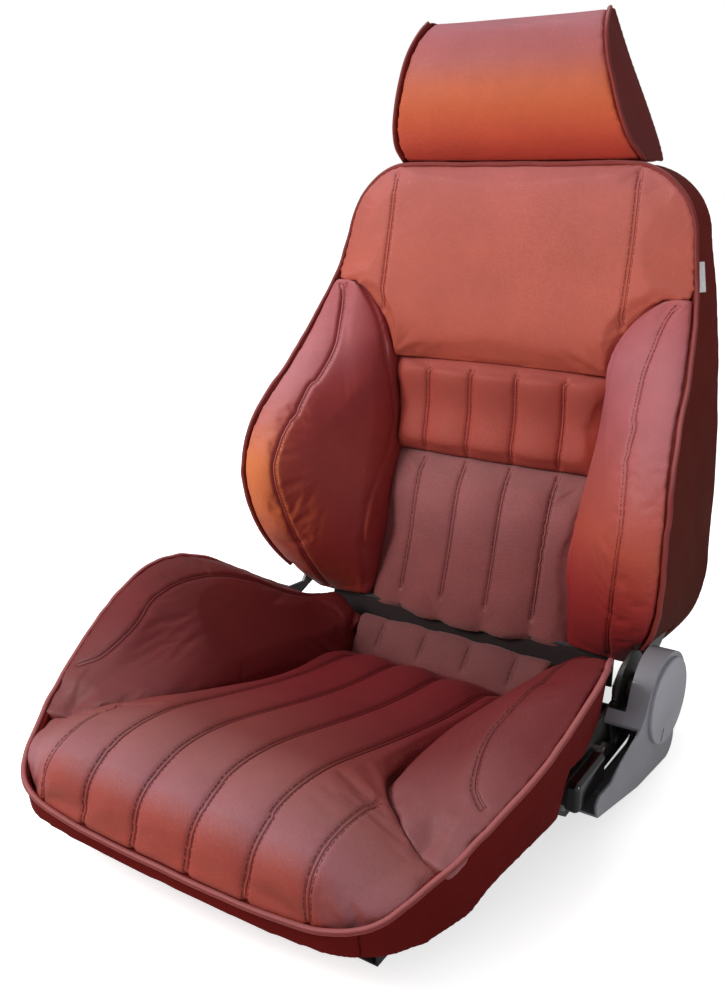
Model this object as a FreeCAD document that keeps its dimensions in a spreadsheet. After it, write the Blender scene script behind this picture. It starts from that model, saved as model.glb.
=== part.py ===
"""Reclining racing seat: steel base frame, recliner, backrest frame, upholstery and headrest.

Millimetres. +Z is up, +X is the recliner's side, and the occupant faces -Y. The origin is the middle
of the four base bolts, on the plane that the seat stands on.
"""
import FreeCAD, Part
import math
import os
import Sketcher
from FreeCAD import Placement, Rotation, Vector

doc = FreeCAD.newDocument("racing_seat")

# Driving dimensions: lengths in millimetres, angles in degrees
SIZES = {
    # Base frame: two square rails, two cross tubes and two upright side plates
    "bolt_spread": 340, "bolt_run": 330, "bolt_hole": 4.5, "thread_radius": 3.4, "nut_radius": 7.5,
    "nut_height": 6.5, "rail_size": 25, "rail_wall": 2, "rail_front": -178, "rail_length": 463,
    "tube_radius": 11, "tube_wall": 2, "front_tube_place": -166, "front_tube_half": 206,
    "rear_tube_place": 262, "side_plate": 3, "side_plate_front": -140, "side_plate_length": 436,
    "side_plate_foot": 4, "side_plate_top": 58, "wire_radius": 1.75, "wire_gap": 0.2, "wire_swing": 22,
    "wire_pitch": 30, "wire_spacing": 75, "wire_end_gap": 1.6,
    # Recliner: brackets on the base, arms on the backrest, one axis through both sides
    "pivot_place": 256, "pivot_height": 88, "bracket_inside": 237, "bracket_plate": 4, "plate_gap": 2,
    "arm_plate": 4, "pivot_radius": 6, "running_gap": 0.05, "bush_radius": 9, "head_radius": 8,
    "head_length": 11, "pivot_nut_radius": 11, "left_hub_radius": 18, "bracket_hub_radius": 34,
    "spacer_radius": 10, "fixing_radius": 4, "fixing_head": 6.5, "fixing_head_height": 5,
    "front_fixing_place": 75, "rear_fixing_place": 280, "fixing_height": 39,
    "sector_radius": 46, "tooth_side": 3.2, "tooth_step": 6, "tooth_first": 170, "tooth_count": 9,
    "pawl_angle": 200, "pawl_gap": 0.6, "pin_radius": 4, "pawl_pin_place": 220, "pawl_pin_height": 41,
    "lever_pin_place": 165, "lever_pin_height": 58, "lever_plate": 3, "foot_radius": 3,
    "foot_place": 186, "foot_gap": 0.4, "pawl_tail_top": 45.6, "spring_strip": 1.6, "spring_width": 6,
    "spring_start": 8.4, "spring_turns": 3, "spring_pitch": 6.2, "grip_length": 75, "grip_width": 17,
    "grip_height": 34, "grip_front": 55, "grip_foot": 45, "grip_round": 6,
    # Recliner cover: a moulded tray whose outer face leans in towards the front
    "cover_inside": 242.2, "cover_outside": 291, "cover_lean": 4, "cover_wall": 2.5,
    "cover_relief": 60, "cover_relief_depth": 262, "cap_radius": 50, "cap_height": 5, "cap_edge": 2,
    "boss_radius": 5, "boss_screw": 2.2, "front_boss_place": 132, "rear_boss_place": 280,
    "boss_height": 24, "slot_start": 31, "slot_end": 46, "slot_half": 2, "slot_turn": 24,
    "left_cap_radius": 18, "left_cap_wall": 2.5,
    # Upholstery
    "trim_sheet": 5, "trim_hem": 2, "piping_stand": 0.9, "pocket_depth": 2.5, "flap_place": 320,
    "flap_thickness": 2, "flap_half": 205, "flap_foot": 50, "piping_radius": 3, "pleat_step": 63.6,
    "pleat_rise": 5, "pad_lead": 15, "wing_puff": 3, "crest_puff": 6, "notch_inside": 236, "notch_front": 18,
    "notch_front_height": 118, "notch_height": 99, "under_pad_gap": 0.3, "frame_side_inside": 155,
    "frame_side_top": 62, "seat_seam_place": 250, "seat_end": 294, "low_seam": 290, "high_seam": 416,
    "seam_dip": 4, "rear_panel_foot": 116, "foam_back_low": 400, "foam_back_lean": 40,
    "tag_length": 10, "tag_height": 33, "tag_thickness": 0.8, "tag_middle": 536, "tag_gap": 4.5,
    # Backrest frame: a bent hoop with two cross tubes and the headrest's guides
    "hoop_half": 232, "hoop_foot": 128, "hoop_waist": 400, "hoop_top_half": 188, "hoop_top": 628,
    "hoop_low_place": 418, "hoop_high_place": 457, "low_bar_height": 188, "high_bar_height": 540,
    "high_bar_place": 456, "arm_bolt_low": 150, "arm_bolt_high": 225, "back_wire_low": 258,
    "back_wire_step": 65,
    # Headrest
    "post_half": 75, "post_place": 435, "post_radius": 6, "post_foot": 502, "post_top": 762,
    "guide_radius": 10, "guide_bore": 8, "guide_foot": 492, "back_top": 657, "collar_radius": 14,
    "collar_height": 2.5, "head_bottom": 661, "head_top": 822, "head_bottom_half": 159,
    "head_top_half": 114, "side_skin": 4, "core_plate": 3, "core_foot": 690, "core_half": 95,
}
# Backrest stations, foot to crown: height, depth of the middle, then half-width and depth of the
# insert's seam and of the sewn crest line
BACK_COLUMNS = ("height", "middle", "seam_half", "seam", "crest_half", "crest")
BACK_STATIONS = {
    "foot": (60, 318, 145, 316, 200, 306),
    "hip": (112, 321, 145, 314, 207, 292),
    "flank": (165, 334, 146, 306, 214, 256),
    "rib": (220, 350, 146, 314, 222, 234),
    "wing": (285, 374, 142, 350, 230, 224),
    "waist": (350, 385, 145, 378, 218, 257),
    "lumbar": (415, 385, 152, 374, 208, 316),
    "chest": (465, 388, 166, 375, 211, 350),
    "shoulder": (515, 395, 200, 387, 217, 384),
    "neck": (562, 402, 200, 396, 214, 399),
    "nape": (600, 407, 190, 402, 200, 405),
    "crown": (670, 415, 150, 412, 165, 414),
}
# Seat stations, front to rear: place, height of the middle, then half-width and height of the
# insert's seam and of the sewn crest line
SEAT_COLUMNS = ("place", "middle", "seam_half", "seam", "crest_half", "crest")
SEAT_STATIONS = {
    "nose": (-180, 140, 170, 127, 205, 113),
    "knee": (-150, 137, 165, 126, 212, 119),
    "thigh": (-107, 129, 146, 121, 225, 138),
    "slope": (-72, 121, 131, 107, 219, 159),
    "rise": (-19, 109, 126, 100, 223, 186),
    "crest": (40, 94, 123, 88, 229, 189),
    "hollow": (97, 83, 122, 76, 225, 177),
    "haunch": (171, 63, 122, 60, 211, 146),
    "seat": (255, 46, 132, 57, 190, 103),
    "tail": (310, 76, 143, 64, 184, 76),
}

sheet = doc.addObject("Spreadsheet::Sheet", "sizes")
TABLES = [SIZES]
for prefix, columns, stations in (("back_", BACK_COLUMNS, BACK_STATIONS),
                                  ("seat_", SEAT_COLUMNS, SEAT_STATIONS)):
    for name, row in stations.items():
        TABLES.append({prefix + name + "_" + column: value for column, value in zip(columns, row)})
cells = [pair for table in TABLES for pair in table.items()]
for row, (alias, value) in enumerate(cells, start=1):
    sheet.set(f"A{row}", alias)
    sheet.set(f"B{row}", str(value))
    sheet.setAlias(f"B{row}", alias)
doc.recompute()


def size(alias):
    """The value of a named cell."""
    return float(sheet.get(alias))


def amount(terms):
    """What a sum of cells and numbers comes to, such as sizes.pivot_place-5."""
    total = 0.0
    for term in terms.replace("-", "+-").split("+"):
        sign = -1 if term.startswith("-") else 1
        term = term.strip("-")
        if term.startswith("sizes."):
            total += sign * size(term[len("sizes."):])
        elif term:
            total += sign * float(term)
    return total


BACK = [{column: size(f"back_{name}_{column}") for column in BACK_COLUMNS} for name in BACK_STATIONS]
SEAT = [{column: size(f"seat_{name}_{column}") for column in SEAT_COLUMNS} for name in SEAT_STATIONS]
FAR = 900
ALONG_X = Rotation(Vector(0, 1, 0), 90)
UPRIGHT = Rotation()
nodes = []


def node(label, thing):
    """Name a finished sub-part; it is written to a file of that name."""
    thing.Label = label
    nodes.append(thing)
    return thing


def feature(label, shape):
    """A sub-part whose shape is made here from the sheet's sizes."""
    thing = doc.addObject("Part::Feature", label)
    thing.Shape = shape
    thing.Placement = Placement()
    return node(label, thing)


def bind(thing, at=(), **sizes):
    """Bind properties to expressions; at binds the place."""
    for key, value in sizes.items():
        thing.setExpression(key, value)
    for axis, value in zip("xyz", at):
        thing.setExpression("Placement.Base." + axis, value)
    return thing


def box(name, length, width, height, at):
    """A box bound to the sheet."""
    return bind(doc.addObject("Part::Box", name), Length=length, Width=width, Height=height, at=at)


def rod(name, radius, length, at, turn=ALONG_X):
    """A cylinder bound to the sheet, along X unless turned."""
    thing = doc.addObject("Part::Cylinder", name)
    thing.Placement = Placement(Vector(), turn)
    return bind(thing, Radius=radius, Height=length, at=at)


def hexagon(name, radius, length, at, turn=ALONG_X):
    """A hexagonal prism bound to the sheet."""
    thing = doc.addObject("Part::Prism", name)
    thing.Polygon = 6
    thing.Placement = Placement(Vector(), turn)
    return bind(thing, Circumradius=radius, Height=length, at=at)


def fuse(name, things):
    """Several things joined in one solid."""
    thing = doc.addObject("Part::MultiFuse", name)
    thing.Shapes = things
    return thing


def cut(name, base, *tools):
    """One thing less others."""
    thing = doc.addObject("Part::Cut", name)
    thing.Base = base
    thing.Tool = tools[0] if len(tools) == 1 else fuse(name + "_tools", list(tools))
    return thing


def group(name, things):
    """Alike solids that share a file."""
    thing = doc.addObject("Part::Compound", name)
    thing.Links = things
    return thing


def mirrored_copy(name, source):
    """The same piece on the other side."""
    thing = doc.addObject("Part::Mirroring", name)
    thing.Source = source
    thing.Base = Vector(0, 0, 0)
    thing.Normal = Vector(1, 0, 0)
    return thing


def plate(name, corners, thickness, inside, holes=(), discs=()):
    """A flat plate square to X: corners along Y and Z, then holes and discs with a radius."""
    body = doc.addObject("PartDesign::Body", name)
    side = next(item for item in body.Origin.OriginFeatures if item.Role == "YZ_Plane")

    def sketch_on_side(label):
        sketch = body.newObject("Sketcher::SketchObject", label)
        sketch.AttachmentSupport = [(side, "")]
        sketch.MapMode = "FlatFace"
        return sketch

    def pin(sketch, item, point, place):
        for kind, value in zip(("DistanceX", "DistanceY"), place):
            index = sketch.addConstraint(Sketcher.Constraint(kind, -1, 1, item, point, amount(value)))
            sketch.setExpression(f"Constraints[{index}]", value)

    def circle(sketch, along, up, radius):
        centre = Vector(amount(along), amount(up), 0)
        ring = sketch.addGeometry(Part.Circle(centre, Vector(0, 0, 1), amount(radius)))
        pin(sketch, ring, 3, (along, up))
        index = sketch.addConstraint(Sketcher.Constraint("Radius", ring, amount(radius)))
        sketch.setExpression(f"Constraints[{index}]", radius)

    outline = sketch_on_side(name + "_outline")
    points = [Vector(amount(along), amount(up), 0) for along, up in corners]
    for i, point in enumerate(points):
        outline.addGeometry(Part.LineSegment(point, points[(i + 1) % len(points)]))
    for i in range(len(points)):
        outline.addConstraint(Sketcher.Constraint("Coincident", i, 2, (i + 1) % len(points), 1))
        pin(outline, i, 1, corners[i])
    pad = body.newObject("PartDesign::Pad", name + "_pad")
    pad.Profile = outline
    pad.setExpression("Length", thickness)
    for number, disc in enumerate(discs):
        face = sketch_on_side(f"{name}_disc_{number}")
        circle(face, *disc)
        boss = body.newObject("PartDesign::Pad", f"{name}_boss_{number}")
        boss.Profile = face
        boss.setExpression("Length", thickness)
    doc.recompute()
    for number, hole in enumerate(holes):
        face = sketch_on_side(f"{name}_hole_{number}")
        circle(face, *hole)
        pocket = body.newObject("PartDesign::Pocket", f"{name}_bore_{number}")
        pocket.Profile = face
        pocket.Type = "ThroughAll"
        pocket.Midplane = True
    body.setExpression("Placement.Base.x", inside)
    return body


# Outlines of lines and arcs in one plane: each point is a complex number, each step runs to an end,
# over a point on the way where it is an arc
def along(place):
    """Puts an outline of (Y, Z) points on a plane square to X."""
    return lambda point: Vector(place, point.real, point.imag)


def level(height):
    """Puts an outline of (X, Y) points on a level plane."""
    return lambda point: Vector(point.real, point.imag, height)


def across(place):
    """Puts an outline of (X, Z) points on a plane square to Y."""
    return lambda point: Vector(point.real, place, point.imag)


def steps(start, *moves):
    """Pieces of an outline from a start over moves, each an end or a pair of way and end."""
    pieces, at = [], complex(*start)
    for move in moves:
        bent = isinstance(move[0], tuple)
        way = complex(*move[0]) if bent else None
        end = complex(*move[1]) if bent else complex(*move)
        pieces.append((at, way, end))
        at = end
    return pieces


def closed(pieces):
    """An outline closed by a straight piece."""
    if abs(pieces[-1][2] - pieces[0][0]) < 1e-6:
        return pieces
    return pieces + [(pieces[-1][2], None, pieces[0][0])]


def mirrored(pieces):
    """An outline alike on both sides, from the pieces of its right side."""
    def flip(point):
        return None if point is None else complex(-point.real, point.imag)
    left = [(flip(end), flip(way), flip(start)) for start, way, end in reversed(pieces)]
    bridge = [(pieces[-1][2], None, left[0][0])] if pieces[-1][2].real > 1e-6 else []
    return closed(pieces + bridge + left)


def drawn_in(pieces, distance):
    """An outline moved inwards by a distance, its corners mitred."""
    area = sum((start.conjugate() * end).imag for start, way, end in pieces)
    inward = 1j if area > 0 else -1j
    heads = []
    for start, way, end in pieces:
        chord = (end - start) / abs(end - start)
        bend = 1 if way is None else (end - way) / (way - start)
        bend = bend / abs(bend)
        heads.append((chord / bend * inward, chord * bend * inward))
    corners = []
    for i, (start, way, end) in enumerate(pieces):
        before, after = heads[i - 1][1], heads[i][0]
        corners.append(start + distance * (before + after) / (1 + (before * after.conjugate()).real))
    moved = []
    for i, (start, way, end) in enumerate(pieces):
        if way is not None:
            middle = (way - start) / abs(way - start) + (end - way) / abs(end - way)
            way = way + distance * inward * middle / abs(middle)
        moved.append((corners[i], way, corners[(i + 1) % len(pieces)]))
    return moved


def wire(pieces, place):
    """An outline as a wire on its plane."""
    edges = []
    for start, way, end in pieces:
        if way is None:
            edges.append(Part.LineSegment(place(start), place(end)).toShape())
        else:
            edges.append(Part.Arc(place(start), place(way), place(end)).toShape())
    return Part.Wire(edges)


def prism(pieces, place, depth):
    """A closed outline pushed out by a vector."""
    return Part.Face(wire(pieces, place)).extrude(Vector(*depth))


def block(low, high):
    """A box from its lowest to its highest corner."""
    return Part.makeBox(high[0] - low[0], high[1] - low[1], high[2] - low[2], Vector(*low))


def other_side(shape):
    """The mirror image of a shape."""
    return shape.mirror(Vector(0, 0, 0), Vector(1, 0, 0))


def cut_both(shape, tool):
    """A shape less a tool and less the tool's mirror image."""
    return shape.cut(tool).cut(other_side(tool))


def one_solid(shape):
    """The largest solid of a result, without loose slivers."""
    return max(shape.Solids, key=lambda solid: solid.Volume)


def bent_path(points):
    """Straight runs joined by tangent arcs as large as the runs allow."""
    edges, at = [], points[0]
    for i in range(1, len(points) - 1):
        before, corner, after = points[i - 1], points[i], points[i + 1]
        first, second = corner - before, after - corner
        turn = first.getAngle(second)
        if turn < 1e-3:
            continue
        reach = 0.45 * min(first.Length, second.Length)
        start = corner - first.normalize() * reach
        end = corner + second.normalize() * reach
        radius = reach / math.tan(turn / 2)
        sag = radius * (1 / math.cos(turn / 2) - 1)
        inward = (start + end) * 0.5 - corner
        middle = corner + inward.normalize() * sag
        edges.append(Part.LineSegment(at, start).toShape())
        edges.append(Part.Arc(start, middle, end).toShape())
        at = end
    edges.append(Part.LineSegment(at, points[-1]).toShape())
    return Part.Wire(edges)


def tube(points, radius):
    """A round solid along a bent path."""
    path = bent_path(points)
    heading = points[1] - points[0]
    ring = Part.Wire(Part.makeCircle(radius, points[0], heading))
    return path.makePipeShell([ring], True, False)


def puffed(start, end, rise, side):
    """A point on the way from start to end that stands off by a rise."""
    return (start + end) / 2 + side * (end - start) / abs(end - start) * rise


# Base frame
BASE_ROWS = (("left", "-sizes.bolt_spread/2"), ("right", "sizes.bolt_spread/2"))
BOLT_PLACES = (("front", "-sizes.bolt_run/2"), ("rear", "sizes.bolt_run/2"))
weld_nuts = []
for side, middle in BASE_ROWS:
    edge = middle + "-sizes.rail_size/2"
    outer = box(f"rail_{side}_outer", "sizes.rail_size", "sizes.rail_length", "sizes.rail_size",
                (edge, "sizes.rail_front", "0"))
    inner = box(f"rail_{side}_inner", "sizes.rail_size-2*sizes.rail_wall", "sizes.rail_length+2",
                "sizes.rail_size-2*sizes.rail_wall",
                (edge + "+sizes.rail_wall", "sizes.rail_front-1", "sizes.rail_wall"))
    holes = []
    for end, place in BOLT_PLACES:
        holes.append(rod(f"bolt_hole_{side}_{end}", "sizes.bolt_hole", "sizes.rail_wall+2",
                         (middle, place, "-1"), UPRIGHT))
        nut = hexagon(f"weld_nut_{side}_{end}", "sizes.nut_radius", "sizes.nut_height",
                      (middle, place, "sizes.rail_wall"), UPRIGHT)
        thread = rod(f"thread_{side}_{end}", "sizes.thread_radius", "sizes.nut_height+2",
                     (middle, place, "sizes.rail_wall-1"), UPRIGHT)
        weld_nuts.append(cut(f"weld_nut_{side}_{end}_bored", nut, thread))
    node(f"base_rail_{side}", cut(f"base_rail_{side}", outer, inner, *holes))
node("base_weld_nuts", group("base_weld_nuts", weld_nuts))


def cross_tube(label, half, place, height):
    """A round tube across the seat."""
    outer = rod(label + "_outer", "sizes.tube_radius", f"2*({half})", (f"-({half})", place, height))
    inner = rod(label + "_inner", "sizes.tube_radius-sizes.tube_wall", f"2*({half})+2",
                (f"-({half})-1", place, height))
    return cut(label, outer, inner)


node("base_front_tube", cross_tube("base_front_tube", "sizes.front_tube_half", "sizes.front_tube_place",
                                   "sizes.rail_size+sizes.tube_radius"))
node("base_rear_tube", cross_tube("base_rear_tube", "sizes.bolt_spread/2-sizes.rail_size/2",
                                  "sizes.rear_tube_place", "sizes.rail_size/2"))
for side, start in (("left", "-sizes.bolt_spread/2-sizes.rail_size/2-sizes.side_plate"),
                    ("right", "sizes.bolt_spread/2+sizes.rail_size/2")):
    sheet_metal = box(f"side_plate_{side}_sheet", "sizes.side_plate", "sizes.side_plate_length",
                      "sizes.side_plate_top-sizes.side_plate_foot",
                      (start, "sizes.side_plate_front", "sizes.side_plate_foot"))
    holes = [rod(f"side_plate_{side}_hole_{end}", "sizes.fixing_radius", "sizes.side_plate+2",
                 (start + "-1", f"sizes.{end}_fixing_place", "sizes.fixing_height"))
             for end in ("front", "rear")]
    node(f"base_side_plate_{side}", cut(f"base_side_plate_{side}", sheet_metal, *holes))

# Zigzag springs: seat wires run front to rear on the two cross tubes, back wires run side to side
wire_lift = size("tube_radius") + size("wire_radius") + size("wire_gap")
seat_wire_front = (size("front_tube_place"), size("rail_size") + size("tube_radius") + wire_lift)
seat_wire_rear = (size("rear_tube_place"), size("rail_size") / 2 + wire_lift)


def zigzag(start, end, swing, count):
    """A wire that swings from side to side between two ends, as its corner points."""
    points = [start]
    for i in range(1, count):
        middle = start + (end - start) * ((i - 0.5) / (count - 1))
        points.append(middle + swing * (1 if i % 2 else -1))
    return points + [end]


def seat_slope(place):
    """Height of the seat wires' middle line at a place."""
    (front, high), (rear, low) = seat_wire_front, seat_wire_rear
    return high + (low - high) * (place - front) / (rear - front)


run = seat_wire_rear[0] - seat_wire_front[0]
turns = int(round(run / size("wire_pitch")))
seat_wires = []
for number in range(4):
    across_seat = (number - 1.5) * size("wire_spacing")
    front_end = Vector(across_seat, *seat_wire_front)
    rear_end = Vector(across_seat, *seat_wire_rear)
    swing = Vector(size("wire_swing"), 0, 0)
    seat_wires.append(tube(zigzag(front_end, rear_end, swing, turns), size("wire_radius")))
feature("cushion_springs", Part.makeCompound(seat_wires))

# Seat upholstery: an envelope with sloping sides, a thin boxing round it and foam pads inside
SEAT_PLAN_HIGH = mirrored(steps((207, 300), ((248, 189), (281, 60)), ((277, -75), (242, -189)),
                                ((223, -226), (182, -249)), ((95, -254), (0, -254))))
SEAT_PLAN_LOW = mirrored(steps((198, 300), ((228, 189), (249, 60)), ((243, -75), (214, -185)),
                               ((200, -213), (162, -235)), ((85, -241), (0, -241))))
SEAT_HIGH, SEAT_LOW = 200, 10


def seat_envelope(inset):
    """The seat's sides, drawn in by an inset."""
    return Part.makeLoft([wire(drawn_in(SEAT_PLAN_LOW, inset), level(SEAT_LOW)),
                          wire(drawn_in(SEAT_PLAN_HIGH, inset), level(SEAT_HIGH))], True, True)


seat_block = seat_envelope(0)
seat_end = size("seat_end")
seat_cut = block((-FAR, seat_end, -FAR), (FAR, FAR, FAR))
seat_edge_line = steps((300, 72), ((200, 135), (125, 184)), ((70, 198), (8, 187)), ((-90, 144), (-189, 98)),
                       ((-222, 81), (-262, 66)), (-262, 50), ((-212, 48), (-170, 37)), (-118, 40),
                       ((-84, 58), (-50, 64)), (50, 62), (110, 34), (300, 20))
seat_side_view = prism(closed(seat_edge_line), along(-FAR), (2 * FAR, 0, 0))
notch = closed(steps((size("notch_front"), -10), (size("notch_front"), size("notch_front_height")),
                     (110, size("notch_height") + 1), (200, size("notch_height")), (215, 150), (340, 150),
                     (340, -10)))
notch_right = prism(notch, along(size("notch_inside")), (FAR, 0, 0))
seat_shell = seat_block.cut(seat_envelope(size("trim_sheet"))).common(seat_side_view).cut(seat_cut)
boxing_notch = prism(notch, along(150), (FAR, 0, 0))
seat_shell = cut_both(seat_shell, boxing_notch)
seat_front_zone = block((-195, -FAR, -FAR), (195, -150, FAR))
feature("cushion_boxing_front", one_solid(seat_shell.common(seat_front_zone)))
side_boxing = one_solid(seat_shell.cut(seat_front_zone).common(block((0, -FAR, -FAR), (FAR, FAR, FAR))))
feature("cushion_boxing_right", side_boxing)
feature("cushion_boxing_left", other_side(side_boxing))


def seat_edge_height(place):
    """Height of the piping line at a place from front to rear."""
    face = Part.Face(wire(closed(seat_edge_line), along(0)))
    return face.common(Part.makeLine(Vector(0, place, 40), Vector(0, place, FAR))).BoundBox.ZMax


def reach(solid, place, height):
    """How far a solid reaches to the right at one place and height."""
    return solid.common(Part.makeLine(Vector(0, place, height), Vector(FAR, place, height))).BoundBox.XMax


def interpolated(stations, key, column, value):
    """A column's value between stations."""
    for low, high in zip(stations, stations[1:]):
        if low[key] <= value <= high[key]:
            share = (value - low[key]) / (high[key] - low[key])
            return low[column] + (high[column] - low[column]) * share
    return stations[0][column] if value < stations[0][key] else stations[-1][column]


under_gap = size("wire_radius") + size("under_pad_gap")
seat_seam = closed(steps((145, 325), (122, 210), (122, 68), ((126, -10), (131, -72)),
                         ((150, -112), (175, -135)), ((198, -152), (225, -157)), (300, -158), (300, 325)))
seat_seam_right = prism(seat_seam, level(-FAR), (0, 0, 2 * FAR))
frame_side_space = block((size("frame_side_inside"), -150, -FAR), (FAR, FAR, size("frame_side_top")))
seat_below = closed(steps((-FAR, seat_slope(-FAR) + under_gap), (FAR, seat_slope(FAR) + under_gap),
                          (FAR, -FAR), (-FAR, -FAR)))
seat_below = prism(seat_below, along(-FAR), (2 * FAR, 0, 0))


def bolster_section(station):
    """Closed outline of a side bolster at a station: insert seam, crest line and piping line."""
    place = station["place"]
    seam = complex(station["seam_half"], station["seam"])
    crest = complex(station["crest_half"], station["crest"])
    height = seat_edge_height(min(place, seat_end))
    rim = complex(reach(seat_block, min(place, seat_end), height), height)
    lead = seam - size("pad_lead")
    pieces = [(lead, None, seam), (seam, puffed(seam, crest, size("wing_puff"), 1j), crest),
              (crest, puffed(crest, rim, size("crest_puff"), 1j), rim),
              (rim, None, rim + complex(12, -6)), (rim + complex(12, -6), None, complex(rim.real + 12, 20)),
              (complex(rim.real + 12, 20), None, complex(lead.real, 20)),
              (complex(lead.real, 20), None, lead)]
    return wire(pieces, across(place))


bolster = Part.makeLoft([bolster_section(station) for station in SEAT], True, False)
bolster = bolster.common(seat_block).common(seat_seam_right)
bolster = bolster.cut(seat_shell).cut(seat_below).cut(frame_side_space).cut(seat_cut).cut(notch_right)
bolster = one_solid(bolster)
feature("cushion_bolster_right", bolster)
feature("cushion_bolster_left", other_side(bolster))

PLEATS = [-238, -157] + [(i - 1.5) * size("pleat_step") for i in range(4)] + [157, 238]


def pleated(heights, foot, rise):
    """Closed outline of a pleated pad: height of its face at each pleat line, over a flat foot."""
    points = [complex(place, height) for place, height in zip(PLEATS, heights)]
    pieces = [(a, puffed(a, b, rise, 1j), b) for a, b in zip(points, points[1:])]
    low_right, low_left = complex(PLEATS[-1], foot), complex(PLEATS[0], foot)
    return pieces + [(points[-1], None, low_right), (low_right, None, low_left), (low_left, None, points[0])]


def sagged(height, near, outer, end):
    """Heights at the pleat lines, lower towards the sides."""
    return [height - end, height - outer, height - near, height, height, height - near, height - outer,
            height - end]


def seat_pad_section(place, height, near, outer, end, rise):
    """Section of a seat pad at one place from front to rear."""
    foot = seat_slope(place) - size("trim_sheet")
    return wire(pleated(sagged(height, near, outer, end), foot, rise), across(place))


def roll_section(angle, reach_out, near, outer, end):
    """Section of the front roll on a plane that leans forward about a line under the pad."""
    lean = math.radians(angle)
    hinge_place, hinge_height = -120, seat_slope(-120) - 10

    def leaning(point):
        out = point.imag
        return Vector(point.real, hinge_place - out * math.sin(lean), hinge_height + out * math.cos(lean))
    return wire(pleated(sagged(reach_out, near, outer, end), 5, size("pleat_rise")), leaning)


rise = size("pleat_rise")
hinge = seat_slope(-120) - 10
seam_place = size("seat_seam_place")
centre_sections = [seat_pad_section(seam_place, 46 - size("seam_dip"), 3, 8, 0, 1),
                   seat_pad_section(seam_place - 14, 48, 2, 8, 0, rise),
                   seat_pad_section(130, 74, 2, 8, 0, rise), seat_pad_section(0, 102, 2, 8, 0, rise),
                   seat_pad_section(-85, 125, 2, 7, 30, rise),
                   roll_section(0, 133 - hinge, 1, 6, 42),
                   roll_section(35, 116 + 0.819 * (45 - hinge), 1, 6, 62),
                   roll_section(55, 137 + 0.574 * (45 - hinge), 1, 5, 68),
                   roll_section(70, 131.5 + 0.342 * (45 - hinge), 1, 4, 66),
                   roll_section(80.4, 126 + 0.17 * (45 - hinge), 1, 3, 62)]
centre_pad = Part.makeLoft(centre_sections, True, False).common(seat_block)
centre_pad = cut_both(cut_both(centre_pad, seat_seam_right), frame_side_space)
centre_pad = one_solid(centre_pad.cut(seat_shell).cut(seat_below))
feature("cushion_center_pad", centre_pad)
rear_sections = [seat_pad_section(seam_place, 46 - size("seam_dip"), 3, 8, 0, 1),
                 seat_pad_section(seam_place + 12, 54, 1, 2, 0, rise),
                 seat_pad_section(seam_place + 32, 71, 1, 2, 0, rise),
                 seat_pad_section(seat_end, 75, 2, 4, 0, 2)]
rear_pad = Part.makeLoft(rear_sections, True, False).common(seat_block)
rear_pad = cut_both(cut_both(rear_pad, seat_seam_right), frame_side_space)
feature("cushion_rear_pad", one_solid(rear_pad.cut(seat_below)))

# Seat piping: lies on the edge where the pads meet the boxing
piping_side = size("piping_radius") + size("piping_stand")
piping_front = piping_side * 0.3


def seat_piping_point(place):
    """A point of the seat piping's right side at a place from front to rear."""
    height = seat_edge_height(place)
    rim = reach(seat_block, place, height)
    corner = Vector(max(rim - 150, 0) if place < -130 else 1, min(place + 130, 0), 0).normalize()
    return Vector(rim, place, height) + corner * piping_side + Vector(0, 0, piping_front)


right_piping = [seat_piping_point(place) for place in (262, 215, 165, 120, 80, 60, 40, 0, -45, -90, -130,
                                                        -165, -192, -214, -232)]
right_piping += [Vector(172, -242 - piping_side, 71 + piping_front),
                 Vector(110, -247 - piping_side, 68 + piping_front)]
seat_piping_points = right_piping + [Vector(-point.x, point.y, point.z) for point in reversed(right_piping)]
feature("cushion_piping", tube(seat_piping_points, size("piping_radius")))

# Backrest upholstery: an envelope, a thin skin at its sides, top, bottom and rear, and foam pads in front
BACK_OUTLINE_FRONT = mirrored(steps((218, 103), ((260, 155), (280, 216)), ((283.5, 290), (271.6, 375)),
                                    ((257, 468), (230, 562)), ((207, 622), (160, 657))))
BACK_OUTLINE_REAR = mirrored(steps((230, 70), ((254, 113), (264, 190)), ((262, 300), (253, 425)),
                                   ((245, 490), (231, 575)), ((212, 624), (160, 657))))
BACK_FRONT_PLANE, BACK_REAR_PLANE = 200, 478


def back_envelope(inset):
    """The backrest's outside, drawn in by an inset, with its rear bottom edge rounded."""
    loft = Part.makeLoft([wire(drawn_in(BACK_OUTLINE_FRONT, inset), across(BACK_FRONT_PLANE)),
                          wire(drawn_in(BACK_OUTLINE_REAR, inset), across(BACK_REAR_PLANE))], True, True)
    rear = BACK_REAR_PLANE - inset
    view = closed(steps((100, 900), (100, -50), (432, -50), (432, 70.5 + inset),
                        ((466 - 0.7 * inset, 85 + 0.7 * inset), (rear, 112)), (rear, 900)))
    return loft.common(prism(view, along(-FAR), (2 * FAR, 0, 0)))


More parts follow.
